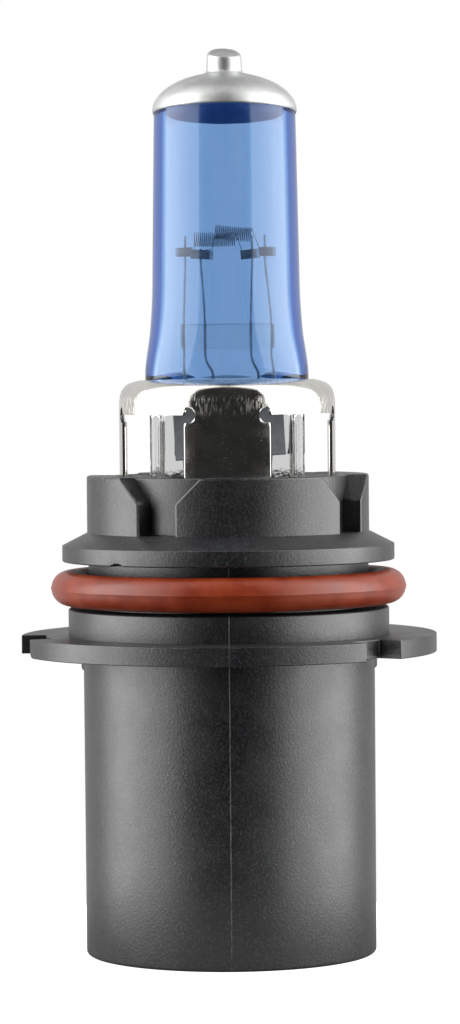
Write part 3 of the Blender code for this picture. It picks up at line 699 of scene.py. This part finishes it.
def hub_pad(start, end):
    """A pad of the hub, with both upper corners cut at 45 degrees."""
    steps = 32
    inner, low = 11.6 * MM, RING_TOP - 0.4 * MM
    rings = []
    bearings = sorted({*(start + (end - start) * k / steps for k in range(steps + 1)),
                       start + HUB_FLARE, end - HUB_FLARE})
    for bearing in bearings:
        inset = min(bearing - start, end - bearing, HUB_FLARE) / HUB_FLARE
        top = HUB_CHAMFER_Z + (HUB_TOP - HUB_CHAMFER_Z) * inset
        outline = [(inner, low), (HUB_R, low), (HUB_R, top), (inner, top)]
        rings.append([at_bearing(r, bearing, z) for r, z in outline])
    obj = lofted("hub_pad", rings)
    bevel(obj, 0.2 * MM, 2)
    return applied(obj)


def key_rib(bearing):
    inner, outer, low, high = 11.95 * MM, 13.6 * MM, 3.2 * MM, 29 * MM
    outline = [(inner, low), (outer, low), (outer, high), (inner, high)]
    bearings = [bearing + KEY_RIB_HALF * k / 4 for k in range(-4, 5)]
    rings = [[at_bearing(r, b, z) for r, z in outline] for b in bearings]
    obj = lofted("key_rib", rings)
    bevel(obj, 0.15 * MM, 2)
    return applied(obj)


def side_lug(bearing):
    """A low step under the flange, at one side of the skirt."""
    inner = SKIRT_R - 0.8 * MM
    rings = []
    for k in range(-6, 7):
        outer = SKIRT_R + (LUG_R - SKIRT_R) * min(1.0, (6 - abs(k)) / 3 + 0.08)
        outline = [(inner, LUG_Z), (outer - 0.15 * MM, LUG_Z), (outer, LUG_Z + 0.2 * MM),
                   (outer, FLANGE_Z + 0.8 * MM), (inner, FLANGE_Z + 0.8 * MM)]
        rings.append([at_bearing(r, bearing + LUG_HALF * k / 6, z) for r, z in outline])
    obj = lofted("side_lug", rings)
    bevel(obj, 0.08 * MM, 2)
    return applied(obj)


def base_housing():
    profile = fillet([
        (0, WEB_Z, 0), (SKIRT_BORE_R, WEB_Z, 0.4 * MM), (SKIRT_BORE_R, 0.8 * MM, 0.2 * MM),
        (SKIRT_BORE_R + 0.3 * MM, 0, 0.25 * MM), (SKIRT_R - 0.04 * MM, 0, 0.4 * MM),
        (SKIRT_R, 31.0 * MM, 0),
        (COLLAR_R, 31.0 * MM, 0), (COLLAR_R, COLLAR_TOP, 0.22 * MM), (NECK_R, COLLAR_TOP, 0.15 * MM),
        (NECK_R, RING_Z, 0.15 * MM), (RING_R, RING_Z, 0.16 * MM), (RING_R, RING_RIM_TOP, 0.14 * MM),
        (HUB_R - 0.05 * MM, RING_TOP, 0.1 * MM), (HUB_CORE_R, RING_TOP + 0.02 * MM, 0.15 * MM),
        (HUB_CORE_R, HUB_TOP - 0.05 * MM, 0.15 * MM), (WELL_R, HUB_TOP - 0.05 * MM, 0.15 * MM),
        (WELL_R, WELL_FLOOR, 0.1 * MM), (0, WELL_FLOOR, 0),
    ])
    housing = revolved("base_moulding", profile, moulding_columns(), moulding_shift)
    boolean(housing, flange(), "UNION")
    for start, end in HUB_PADS:
        boolean(housing, hub_pad(start, end), "UNION")
    for bearing in LUG_BEARINGS:
        boolean(housing, side_lug(bearing), "UNION")
    for bearing in KEY_RIB_BEARINGS:
        boolean(housing, key_rib(bearing), "UNION")
    for x, y in BLADES:
        low = (x - 0.7 * MM, y - 3.45 * MM, 27 * MM)
        high = (x + 0.7 * MM, y + 3.45 * MM, 32 * MM)
        boolean(housing, box("blade_slot", low, high), "DIFFERENCE")
    applied(housing, 20)
    return piece(housing, housing_plastic(), "housing", "base_housing")


def sealing_ring():
    """A round section with a low mould seam round its outside."""
    section = []
    for k in range(40):
        angle = 2 * math.pi * k / 40
        r = SEAL_SECTION_R - (SEAM_HEIGHT if k else 0)
        section.append((SEAL_R + r * math.cos(angle), SEAL_Z + r * math.sin(angle)))

    def uneven(r, bearing, z):
        lift = 0.05 * MM * wobble(*at_bearing(r, bearing, z), 9 * MM)
        return r, bearing, z + lift

    ring = revolved("sealing_ring_fine", section, even_bearings(240), uneven)
    applied(ring, 24)
    return piece(ring, red_silicone(), "seal", "sealing_ring")


# ---- Cage and clip ----------------------------------------------------------------------


def crown_height(r):
    """The height of the cage's outer surface at radius r, on its crown and shoulder."""
    points = ((0.0, 57.70), (8.24, 57.66), (9.24, 57.47), (9.9, 57.25), (10.3, 56.97), (10.58, 56.55),
              (10.75, 56.05), (10.83, 55.4))
    r /= MM
    for (r0, z0), (r1, z1) in zip(points, points[1:]):
        if r <= r1:
            return (z0 + (z1 - z0) * (r - r0) / (r1 - r0)) * MM
    return points[-1][1] * MM


def slot_radius(bearing):
    """The distance from the axis to the edge of the cage's opening, at a bearing."""
    angle = math.radians(bearing)
    x, y = abs(math.sin(angle)) / CAGE_SLOT[0], abs(math.cos(angle)) / CAGE_SLOT[1]
    return (x**CAGE_SLOT_POWER + y**CAGE_SLOT_POWER) ** (-1 / CAGE_SLOT_POWER)


def leg_column(offset, half):
    """Heights where the wall ends and where the leg starts again, at an offset from the
    leg's middle. The leg's is None outside it."""
    per_mm = math.degrees(MM / CAGE_R)
    across = (offset - (half - RELIEF_INSET)) / (RELIEF_R / MM * per_mm)
    inside_leg = offset <= half + 1e-6
    if across <= -1 + 1e-6:
        return RELIEF_Z, RELIEF_Z
    drop = RELIEF_R * math.sqrt(max(0.0, 1 - across**2))
    outer_half = RELIEF_R * math.sqrt(max(0.0, 1 - (across / 0.62) ** 2))
    top = RELIEF_Z + (drop if across <= 0 else outer_half)
    if not inside_leg:
        return max(top, CAGE_SKIRT_Z), None
    corner = 0.28 * MM
    from_edge = (half - offset) / per_mm * MM
    rounding = corner - math.sqrt(corner**2 - max(0.0, corner - from_edge) ** 2)
    return max(top, CAGE_SKIRT_Z), RELIEF_Z - drop - rounding


def leg_radius(offset, half, z):
    """The cage's radius, where each leg is a little flatter than the cup above it."""
    fade = min(1.0, max(0.0, (55.4 * MM - z) / (1.2 * MM)))
    flat = LEG_FLATNESS * (1 - math.cos(math.radians(min(offset, half))))
    return CAGE_R * (1 + flat * fade * min(1.0, max(0.0, (half + 3 - offset) / 3)))


def leg_offsets(half):
    """Offsets on one side of a leg's middle, close together round its relief."""
    reach = RELIEF_R / MM * math.degrees(MM / CAGE_R)
    centre = half - RELIEF_INSET
    near = [centre + reach * math.cos(math.radians(a)) for a in range(0, 181, 12)]
    start = centre - reach
    inside = [start * k / 6 for k in range(1, 6)] + [start - 0.25]
    edge = [half, half - 0.35, half - 0.8]
    return sorted({round(b, 4) for b in near + inside + edge})


def cage_turns():
    """Every column's bearing, its offset from the nearest leg's middle and the leg's half."""
    turns = []
    for (bearing, half), (_, next_half) in zip(LEGS, LEGS[1:] + LEGS[:1]):
        mine, others = leg_offsets(half), leg_offsets(next_half)
        turns.append((bearing, 0.0, half))
        turns += [(bearing + o, o, half) for o in mine]
        start, end = bearing + mine[-1], bearing + 90 - others[-1]
        turns += [(start + (end - start) * k / 9, 45.0, half) for k in range(1, 9)]
        turns += [(bearing + 90 - o, o, next_half) for o in reversed(others)]
    return turns


def cage_sheet():
    """The cage's outer surface: crown, drawn shoulder, wall and four legs."""
    bm = bmesh.new()
    rim = (9.5, 9.9, 10.2, 10.42, 10.58, 10.72, 10.8, 10.83)
    columns = []
    for bearing, offset, half in cage_turns():
        inner = slot_radius(bearing)
        radii = [inner + (rim[0] * MM - inner) * k / 5 for k in range(5)] + [r * MM for r in rim]
        crown = [bm.verts.new(at_bearing(r, bearing, crown_height(r))) for r in radii]
        wall_end, leg_start = leg_column(offset, half)
        jag = 0.05 * MM * wobble(*at_bearing(CAGE_R, bearing, 0), 0.9 * MM) if leg_start is None else 0
        start = crown_height(CAGE_R)
        heights = [start + (wall_end + jag - start) * k / 5 for k in range(1, 6)]
        wall = [bm.verts.new(at_bearing(leg_radius(offset, half, z), bearing, z)) for z in heights]
        leg = []
        if leg_start is not None:
            heights = [leg_start + (CAGE_FOOT_Z - leg_start) * (k / 12) ** 1.5 for k in range(13)]
            leg = [bm.verts.new(at_bearing(leg_radius(offset, half, z), bearing, z)) for z in heights]
        columns.append((crown + wall, leg))
    for (wall_a, leg_a), (wall_b, leg_b) in zip(columns, columns[1:] + columns[:1]):
        for strip_a, strip_b in ((wall_a, wall_b), (leg_a, leg_b)):
            if not strip_a or not strip_b:
                continue
            for i in range(len(strip_a) - 1):
                bm.faces.new((strip_a[i], strip_b[i], strip_b[i + 1], strip_a[i + 1]))
    bmesh.ops.remove_doubles(bm, verts=bm.verts, dist=1e-7)
    bmesh.ops.recalc_face_normals(bm, faces=bm.faces)
    outward = sum(f.normal.xy.dot(f.calc_center_median().xy) for f in bm.faces)
    if outward < 0:
        bmesh.ops.reverse_faces(bm, faces=bm.faces)
    return linked(bm, "cage")


def holder_cage():
    cage = cage_sheet()
    solid = cage.modifiers.new("sheet", "SOLIDIFY")
    solid.thickness = SHEET
    solid.offset = -1
    solid.use_even_offset = True
    bevel(cage, 0.07 * MM, 2, 50)
    applied(cage, 40, True)
    return piece(cage, nickel_plate(), "cage", "holder_cage")


def clip_tongue(name, sign, tilt):
    """A tongue bent down from the clip's plate, pressing on one face of the pinch."""
    near, far = CLIP_SLOT[1], 2.2 * MM
    line = smooth_path([
        (near + 1.4 * MM, CLIP_TOP - 0.02 * MM, 0), (near + 0.5 * MM, CLIP_TOP - 0.05 * MM, 0),
        (near, CLIP_TOP - 0.5 * MM, 0), (far + 0.12 * MM, CLIP_TOP - 1.8 * MM, 0),
        (far, CLIP_TONGUE_Z + 1.0 * MM, 0), (far + 0.25 * MM, CLIP_TONGUE_Z, 0)], 4)
    back = []
    for i, point in enumerate(line):
        along = (line[min(i + 1, len(line) - 1)] - line[max(i - 1, 0)]).normalized()
        back.append(Vector((point.x - along.y * 0.3 * MM, point.y + along.x * 0.3 * MM, 0)))
    outline = line + back[::-1]
    turn = Matrix.Rotation(math.radians(tilt), 4, "Y")
    pivot = Vector((0, 0, CLIP_TOP))
    rings = []
    for x in (-CLIP_TONGUE_HALF, CLIP_TONGUE_HALF):
        ring = [Vector((x, sign * p.x, p.y)) for p in outline]
        rings.append([turn @ (p - pivot) + pivot if p.z < CLIP_TOP - 0.4 * MM else p for p in ring])
    return lofted(name, rings)


def seal_clip():
    """The plate under the cage's crown with its slot, and the two tongues that grip the pinch."""
    profile = fillet([(0, CLIP_TOP - 0.3 * MM, 0), (CLIP_R, CLIP_TOP - 0.3 * MM, 0.08 * MM),
                      (CLIP_R, CLIP_TOP, 0.08 * MM), (0, CLIP_TOP, 0)], 2)
    clip = revolved("seal_clip_fine", profile, even_bearings(96))
    half_x, half_y = CLIP_SLOT
    slot = box("clip_slot", (-half_x, -half_y, CLIP_TOP - 2 * MM), (half_x, half_y, CLIP_TOP + 2 * MM))
    boolean(clip, slot, "DIFFERENCE")
    boolean(clip, clip_tongue("tongue_back", 1, -CLIP_TILT), "UNION")
    boolean(clip, clip_tongue("tongue_front", -1, -CLIP_TILT), "UNION")
    applied(clip, 32, True)
    return piece(clip, spring_steel(), "clip", "seal_clip")


# ---- Glass capsule ----------------------------------------------------------------------


def glass_ring(half_x, half_y, power, z, steps=96):
    """A superellipse of points: power 2 is an ellipse, and a higher one is squarer."""
    ring = []
    for k in range(steps):
        angle = 2 * math.pi * k / steps
        c, s = math.cos(angle), math.sin(angle)
        ring.append(Vector((half_x * math.copysign(abs(c) ** (2 / power), c),
                            half_y * math.copysign(abs(s) ** (2 / power), s), z)))
    return ring


def dome_rings(radius, centre, rise, degrees):
    return [glass_ring(radius * math.cos(math.radians(d)), radius * math.cos(math.radians(d)), 2,
                       centre + rise * math.sin(math.radians(d))) for d in degrees]


def pinch_ring(z):
    """The pinch's section: thicker along both edges, with a tool groove inside each."""
    ring = glass_ring(7.75 * MM, 1.9 * MM, 7, z)
    for p in ring:
        across = abs(p.x) / (7.75 * MM)
        groove = math.exp(-((across - 0.86) / 0.035) ** 2)
        p.y *= 1.0 - 0.22 * groove - 0.10 * (1 - across) * (across < 0.85)
        if z < 48.6 * MM:
            p.y *= 1 + 0.06 * wobble(p.x, p.y, z, 1.2 * MM)
    return ring


def glass_envelope():
    """The tube, flattened at its foot into the pinch, with a domed top and an exhaust stub."""
    outer = [(x * MM, y * MM, p, z * MM) for x, y, p, z in (
        (7.75, 1.9, 7, 55.0), (7.78, 2.2, 5.4, 55.9), (7.88, 2.45, 4.2, 56.4), (8.0, 3.2, 3.3, 56.7),
        (8.12, 4.7, 2.6, 57.05), (8.18, 5.65, 2.35, 57.45), (8.19, 6.15, 2.2, 57.95),
        (8.16, 6.5, 2.1, 58.8),
        (7.95, 6.8, 2.05, 60.4), (7.68, 7.05, 2, 62.2), (7.5, 7.28, 2, 64.4), (7.4, 7.38, 2, 66.5),
        (7.34, 7.34, 2, 70), (7.21, 7.21, 2, 77.5), (7.08, 7.08, 2, 84.4))]
    inner = [(x * MM, y * MM, p, z * MM) for x, y, p, z in (
        (5.98, 5.98, 2, 84.4), (6.11, 6.11, 2, 77.5), (6.24, 6.24, 2, 70), (6.3, 6.28, 2, 66.5),
        (6.4, 6.18, 2, 64.4), (6.58, 5.98, 2, 62.2), (6.85, 5.75, 2.05, 60.4), (7.02, 5.5, 2.1, 59.2),
        (7.04, 5.2, 2.15, 58.4), (7.0, 4.8, 2.2, 57.8), (6.8, 4.2, 2.3, 57.35), (6.3, 3.4, 2.4, 57.15),
        (4.5, 2.4, 2.5, 57.6), (2.2, 1.2, 2.5, 58.1), (0.5, 0.3, 2.5, 58.25))]
    rings = [glass_ring(7.3 * MM, 1.45 * MM, 6, 46.5 * MM), glass_ring(7.65 * MM, 1.8 * MM, 7, 46.62 * MM)]
    rings += [pinch_ring(z * MM) for z in (46.85, 47.3, 47.8, 48.3, 49, 50, 51, 52, 53, 54)]
    outer_start = len(rings)
    rings += [glass_ring(*section) for section in smooth_path(outer, 5)]
    rings += dome_rings(TUBE_TOP_R, DOME_Z, DOME_RISE, range(6, 73, 6))
    foot = DOME_Z + DOME_RISE * math.sqrt(1 - (STUB_R / TUBE_TOP_R) ** 2)
    for r, z in ((STUB_FILLET_R, foot + 0.02 * MM), (STUB_R, foot + 0.25 * MM),
                 (STUB_R, STUB_TOP - 0.6 * MM), (STUB_R - 0.15 * MM, STUB_TOP - 0.25 * MM),
                 (STUB_R - 0.55 * MM, STUB_TOP - 0.06 * MM),
                 (BORE_R + 0.1 * MM, STUB_TOP), (BORE_R, STUB_TOP - 0.06 * MM),
                 (BORE_R, DOME_Z + DOME_RISE - WALL + 0.1 * MM)):
        rings.append(glass_ring(r, r, 2, z))
    outer_end = len(rings)
    rings += dome_rings(TUBE_TOP_R - WALL, DOME_Z, DOME_RISE - WALL, (80, 72, 62, 52, 42, 32, 22, 12, 4))
    rings += [glass_ring(*section) for section in smooth_path(inner, 5)]
    glass = lofted("glass_capsule", rings)
    glass.data.materials.append(blue_glass())
    glass.data.materials.append(clear_glass())
    steps = len(rings[0])
    for polygon in glass.data.polygons:
        ring = polygon.index // steps
        tinted = outer_start <= ring < outer_end and polygon.center.z > TINT_FOOT_Z
        polygon.material_index = 0 if tinted else 1
    glass.data.shade_smooth()
    glass.data.set_sharp_from_angle(angle=math.radians(50))
    return piece(glass, None, "blue_glass", "glass_envelope")


def coat_edge(bearing):
    """The height of the coat's lower edge, a little lower at the back and slightly uneven."""
    front = math.cos(math.radians(bearing)) * TUBE_TOP_R * math.tan(math.radians(COAT_EDGE_TILT))
    return COAT_EDGE_Z + front + 0.035 * MM * wobble(*at_bearing(TUBE_TOP_R, bearing, 0), 1.5 * MM)


def dome_radius(z, offset):
    """The radius at height z of a surface that lies outside the glass by offset."""
    if z <= DOME_Z:
        return TUBE_TOP_R + offset + (DOME_Z - z) * 0.018
    rise = DOME_RISE + offset
    return (TUBE_TOP_R + offset) * math.sqrt(max(0.0, 1 - ((z - DOME_Z) / rise) ** 2))


def tip_height(x, y, z):
    """The stub's melted end: a lip round a small crater that faces front and up."""
    dx, dy = (x + 0.05 * MM) / (0.85 * MM), (y + 0.35 * MM) / (0.62 * MM)
    away = math.sqrt(dx * dx + dy * dy)
    crater = -0.38 * MM * math.exp(-away * away)
    melted = (z - TIP_START_Z) / (TIP_TOP - TIP_START_Z)
    slope = 0.36 * min(0.0, y - 0.9 * MM) * melted
    shoulder = -0.16 * MM * max(0.0, x / (1.7 * MM))
    return z + crater + slope + shoulder


def top_coating():
    """The opaque coat over the dome and the stub."""
    bearings = even_bearings(96)
    bm = bmesh.new()

    def row(r, z, tip=False):
        points = [at_bearing(r, b, z) for b in bearings]
        if tip:
            for p in points:
                p.z = min(tip_height(p.x, p.y, p.z), COAT_TOP)
        return [bm.verts.new(p) for p in points]

    def skirt_row(share, offset):
        points = []
        for b in bearings:
            z = coat_edge(b) + (COAT_SKIRT_TOP - coat_edge(b)) * share
            points.append(at_bearing(dome_radius(z, offset), b, z))
        return [bm.verts.new(p) for p in points]

    outer, inner = COAT_GAP + COAT_THICK, COAT_GAP
    rows = [skirt_row(k / COAT_LINING_ROWS, inner) for k in range(COAT_LINING_ROWS, -1, -1)]
    rows += [skirt_row(-0.006, inner + 0.015 * MM), skirt_row(0.06, inner + 0.06 * MM)]
    rows += [skirt_row(0.12, outer)]
    rows += [skirt_row(k / 6, outer) for k in range(1, 7)]
    rows += [row(dome_radius(z * MM, outer), z * MM) for z in (
        86.3, 86.7, 87.05, 87.35, 87.6, 87.8, 87.96, 88.08)]
    rows += [row(r * MM, z * MM) for r, z in (
        (1.98, 88.2), (1.84, 88.35), (1.79, 88.6), (1.77, 89.1), (1.74, 89.6))]
    rows += [row(r * MM, z * MM, True) for r, z in (
        (1.73, 90.1), (1.68, 90.35), (1.58, 90.52), (1.42, 90.63), (1.24, 90.70), (1.05, 90.74),
        (0.86, 90.76), (0.66, 90.77), (0.46, 90.77), (0.26, 90.77), (0.1, 90.77))]
    skin(bm, rows)
    bm.faces.new(rows[-1])
    lining = [rows[0]]
    lining += [row(dome_radius(z * MM, inner), z * MM) for z in (86.6, 87.3, 87.8)]
    lining += [row(r * MM, z * MM) for r, z in (
        (1.68, 88.15), (1.61, 88.4), (1.60, 89.0), (1.60, 89.6), (1.45, 89.8))]
    skin(bm, lining)
    bm.faces.new(lining[-1])
    count = len(bearings)
    outside = range(COAT_LINING_ROWS * count, (len(rows) - 1) * count + 1)
    coat = object_from(bm, "silver_top")
    applied(coat, 45)
    coat.data.materials.append(silver_coat())
    coat.data.materials.append(coat_lining_painted_blue())
    for polygon in coat.data.polygons:
        polygon.material_index = 0 if polygon.index in outside else 1
    return piece(coat, None, "coating", "top_coating")


def exhaust_bead():
    """The drop of glass melted into the stub's bore."""
    profile = [(0, 88.7 * MM)]
    for k in range(1, 16):
        angle = math.pi * k / 16
        profile.append((0.42 * MM * math.sin(angle) ** 0.8, (89.15 - 0.45 * math.cos(angle)) * MM))
    bead = revolved("exhaust_bead", profile + [(0, 89.6 * MM)], even_bearings(32))
    applied(bead)
    return piece(bead, clear_glass("bead_glass"), "clear_glass", "exhaust_seal")


# ---- Posts, bridge, crimps and filaments ------------------------------------------------

# Each post's route: x in the pinch, x in the bridge, then the x, y and z of its top.
POST_ROUTES = {
    "high_beam_post": (-4.2, -4.25, -4.16, 1.4, 72.0),
    "low_beam_post": (-0.8, -2.14, -2.47, -1.5, 70.62),
    "low_beam_return_post": (3.6, 2.45, 2.6, -1.5, 71.95),
    "high_beam_return_post": (4.8, 4.5, 4.02, 1.4, 72.1),
}


def post_points(foot_x, bridge_x, top_x, top_y, top_z):
    pinch_y = -0.31
    points = [(foot_x, pinch_y, 52.5), (foot_x, pinch_y, 56.8),
              (0.15 * foot_x + 0.85 * bridge_x, pinch_y / 3, 59.3),
              (bridge_x, 0, 60.5), (bridge_x, 0, 63.5),
              (0.5 * (bridge_x + top_x), 0.6 * top_y, 66.8), (top_x, top_y, 69.3), (top_x, top_y, top_z)]
    return [Vector(p) * MM for p in points]


def posts():
    metal = molybdenum("post_metal", (0.60, 0.60, 0.62), (0.74, 0.74, 0.76), 0.46)
    for name, route in POST_ROUTES.items():
        post = wire(f"{name}_fine", smooth_path(post_points(*route), 6), POST_R, 14)
        applied(post)
        piece(post, metal, "molybdenum", name)


def glass_bridge():
    """The fused bar between the posts, waisted between them and lumpy where it was pressed."""
    rings = []
    for k in range(49):
        x = BRIDGE_X[0] + (BRIDGE_X[1] - BRIDGE_X[0]) * k / 48
        end = min(x - BRIDGE_X[0], BRIDGE_X[1] - x)
        swell = math.sqrt(min(1.0, max(0.02, end / (0.5 * MM))))
        ring = []
        for i in range(32):
            angle = 2 * math.pi * i / 32
            c, s = math.cos(angle), math.sin(angle)
            y = BRIDGE_HALF_DEPTH * swell * math.copysign(abs(c) ** 0.3, c)
            z = (BRIDGE_Z[1] - BRIDGE_Z[0]) / 2 * (0.8 + 0.2 * swell) * math.copysign(abs(s) ** 0.35, s)
            lump = 1 + 0.03 * wobble(x, y, z, 0.8 * MM)
            ring.append(Vector((x, y * lump, (BRIDGE_Z[0] + BRIDGE_Z[1]) / 2 + z * lump * 0.96)))
        rings.append(ring)
    bar = lofted("glass_bridge_fine", rings)
    applied(bar, 50)
    return piece(bar, clear_glass("bridge_glass"), "clear_glass", "glass_bridge")


def crimp(node, x_fold, x_mouth, y, z, tilt, metal):
    """A tab folded round a post and a filament's leg, open at its mouth."""
    half = CRIMP_DEPTH / 2
    side = math.copysign(1, x_mouth - x_fold)
    outline = []
    for radius in (half, half - CRIMP_SHEET):
        angles = [math.radians(a) for a in range(-90, 91, 15)]
        arc = [(x_fold + side * (half - radius * math.cos(a)), radius * math.sin(a)) for a in angles]
        strip = [(x_mouth, -radius), *arc, (x_mouth, radius)]
        outline += strip if radius == half else strip[::-1]
    turn = Matrix.Rotation(math.radians(tilt), 4, "Y")
    centre = Vector(((x_fold + x_mouth) / 2, y, z + CRIMP_HEIGHT / 2))
    rings = []
    for dz in (-0.5, 0.5):
        ring = [Vector((px, y + py, centre.z + dz * CRIMP_HEIGHT)) for px, py in outline]
        rings.append([turn @ (p - centre) + centre for p in ring])
    tab = lofted(f"{node}_fine", rings)
    bevel(tab, 0.03 * MM, 2, 50)
    applied(tab)
    piece(tab, metal, "molybdenum", node)


def filament(node, first, last, turns, left_leg, right_leg, metal):
    """A coil from first to last, with a leg of one or two points at each end."""
    first, last = Vector(first) * MM, Vector(last) * MM
    along = (last - first).normalized()
    side = along.cross(Vector((0, 0, 1))).normalized()
    up = side.cross(along)
    steps = 16
    points = [Vector(p) * MM for p in left_leg]
    for k in range(turns * steps + 1):
        angle = 2 * math.pi * k / steps
        centre = first.lerp(last, k / (turns * steps))
        sag = -0.05 * MM * math.sin(math.pi * k / (turns * steps))
        points.append(centre + COIL_R * (up * math.cos(angle) + side * math.sin(angle)) + up * sag)
    points += [Vector(p) * MM for p in right_leg]
    coil = wire(f"{node}_fine", points, COIL_WIRE_R, 8)
    applied(coil, 60)
    piece(coil, metal, "tungsten", node)


def filaments_and_crimps():
    tab = molybdenum("crimp_metal", (0.34, 0.34, 0.36), (0.50, 0.50, 0.52), 0.5)
    low_z, high_z = 69.62, 69.95
    front, rear = FRONT_COIL_Y, REAR_COIL_Y
    crimp("low_beam_crimp", -1.25 * MM, -3.45 * MM, front, low_z * MM, 3, tab)
    crimp("low_beam_return_crimp", 3.3 * MM, 1.46 * MM, front, low_z * MM, -5, tab)
    crimp("high_beam_crimp", -5.2 * MM, -3.4 * MM, rear, high_z * MM, -2, tab)
    crimp("high_beam_return_crimp", 5.2 * MM, 3.35 * MM, rear, high_z * MM, 0, tab)
    coil = molybdenum("tungsten_coil", (0.22, 0.22, 0.24), (0.36, 0.36, 0.38), 0.45)
    y_front, y_rear = front / MM, rear / MM
    filament("low_beam_filament", (-3.05, y_front, 71.57), (0.95, y_front, 71.6), 20,
             [(-3.12, y_front + 0.1, low_z + 0.35)], [(1.75, y_front, low_z + 0.35)], coil)
    filament("high_beam_filament", (-1.0, y_rear, 72.42), (2.6, y_rear, 72.08), 19,
             [(-3.6, y_rear, high_z + 0.4), (-1.35, y_rear, high_z + 0.75)],
             [(3.55, y_rear, high_z + 0.4)], coil)


def dress_frame_nodes():
    """Better finishes for the nodes whose own shapes are shown."""
    lead = molybdenum("lead_metal", (0.42, 0.42, 0.43), (0.58, 0.58, 0.59))
    foil = molybdenum("foil_metal", (0.16, 0.16, 0.17), (0.26, 0.26, 0.27))
    tin = tinned_brass()
    resin = potting_resin()
    finishes = {"potting_seal": resin}
    for circuit in ("high_beam", "low_beam", "common"):
        finishes[f"{circuit}_lead"] = lead
        finishes[f"{circuit}_foil"] = foil
        finishes[f"{circuit}_terminal"] = tin
    for name, finish in finishes.items():
        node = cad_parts[name]
        node.data.materials.clear()
        node.data.materials.append(finish)


# ---- Studio -----------------------------------------------------------------------------


def light_tent():
    """The world: bright sides that fade towards a dark gap in front, a soft top and a dim foot.
    Rays that pass through glass see a plainer tent, and the camera sees plain white."""
    world = bpy.data.worlds.new("tent")
    bpy.context.scene.world = world
    world.use_nodes = True
    n = Nodes(world.node_tree)
    _, y, z, level = n.axes(n.node("ShaderNodeTexCoord").outputs["Generated"])
    front = n.math("DIVIDE", n.times(y, -1.0), n.math("MAXIMUM", level, 0.001))
    high = n.ramp(z, *ROOF_EDGE)
    above = n.ramp(n.math("ABSOLUTE", front), *ROOF_BACK_EDGE, TOP_LIGHT, REAR_TOP_LIGHT)
    sides = n.times(n.ramp(front, *BACK_EDGE, BACK_LIGHT, SIDE_LIGHT),
                    n.ramp(front, 0.0, 0.75, 1.0, GAP_EDGE_SHARE))
    walls = n.between(high, sides, above)
    walls = n.between(n.ramp(z, *FOOT_EDGE, 1.0, 0.0), walls, LOW_LIGHT)
    gap = n.times(n.ramp(front, *GAP_EDGE), n.ramp(z, 0.98, 1.0, 1.0, 0.8))
    tent = n.between(gap, walls, GAP_LIGHT)
    through = n.between(n.ramp(front, *THROUGH_BACK_EDGE), BACK_LIGHT, THROUGH_LIGHT)
    through = n.between(high, through, THROUGH_TOP)
    through = n.between(n.ramp(front, *THROUGH_GAP_EDGE), through, THROUGH_GAP)
    ray = n.node("ShaderNodeLightPath")
    seen = n.between(ray.outputs["Is Transmission Ray"], tent, through)
    seen = n.between(ray.outputs["Is Camera Ray"], seen, 1.0)
    light = n.tree.nodes["Background"]
    light.inputs["Color"].default_value = (1.0, 1.0, 1.0, 1.0)
    n.tree.links.new(seen, light.inputs["Strength"])


def paper_floor():
    """A small disc of pale paper under the bulb, which glows for the camera only."""
    outline = [(0, -FLOOR_DEPTH), (FLOOR_R, -FLOOR_DEPTH), (FLOOR_R, 0.0), (0, 0.0)]
    floor = revolved("floor", outline, even_bearings(128))
    finish = Finish("floor_paper", Roughness=0.9)
    finish.colour(finish.blend(finish.noise(0.03, 3), (0.40, 0.40, 0.40), (0.42, 0.42, 0.42)))
    ray = finish.node("ShaderNodeLightPath")
    finish.shader.inputs["Emission Color"].default_value = (1.0, 1.0, 1.0, 1.0)
    finish.tree.links.new(ray.outputs["Is Camera Ray"], finish.shader.inputs["Emission Strength"])
    floor.data.materials.append(finish.material)


def product_camera():
    camera = bpy.data.cameras.new("camera")
    camera.lens = CAMERA_LENS
    camera.clip_start = 0.01
    obj = bpy.data.objects.new("camera", camera)
    bpy.context.scene.collection.objects.link(obj)
    place, aim = Vector(CAMERA_PLACE), Vector(CAMERA_AIM)
    turn = (aim - place).to_track_quat("-Z", "Y").to_matrix().to_4x4()
    roll = Matrix.Rotation(math.radians(-CAMERA_ROLL), 4, "Z")
    obj.matrix_world = Matrix.Translation(place) @ turn @ roll
    bpy.context.scene.camera = obj
    bpy.context.scene.view_settings.view_transform = "Standard"


def main():
    base_housing()
    sealing_ring()
    holder_cage()
    seal_clip()
    glass_envelope()
    top_coating()
    exhaust_bead()
    posts()
    glass_bridge()
    filaments_and_crimps()
    dress_frame_nodes()
    light_tent()
    paper_floor()
    product_camera()


main()
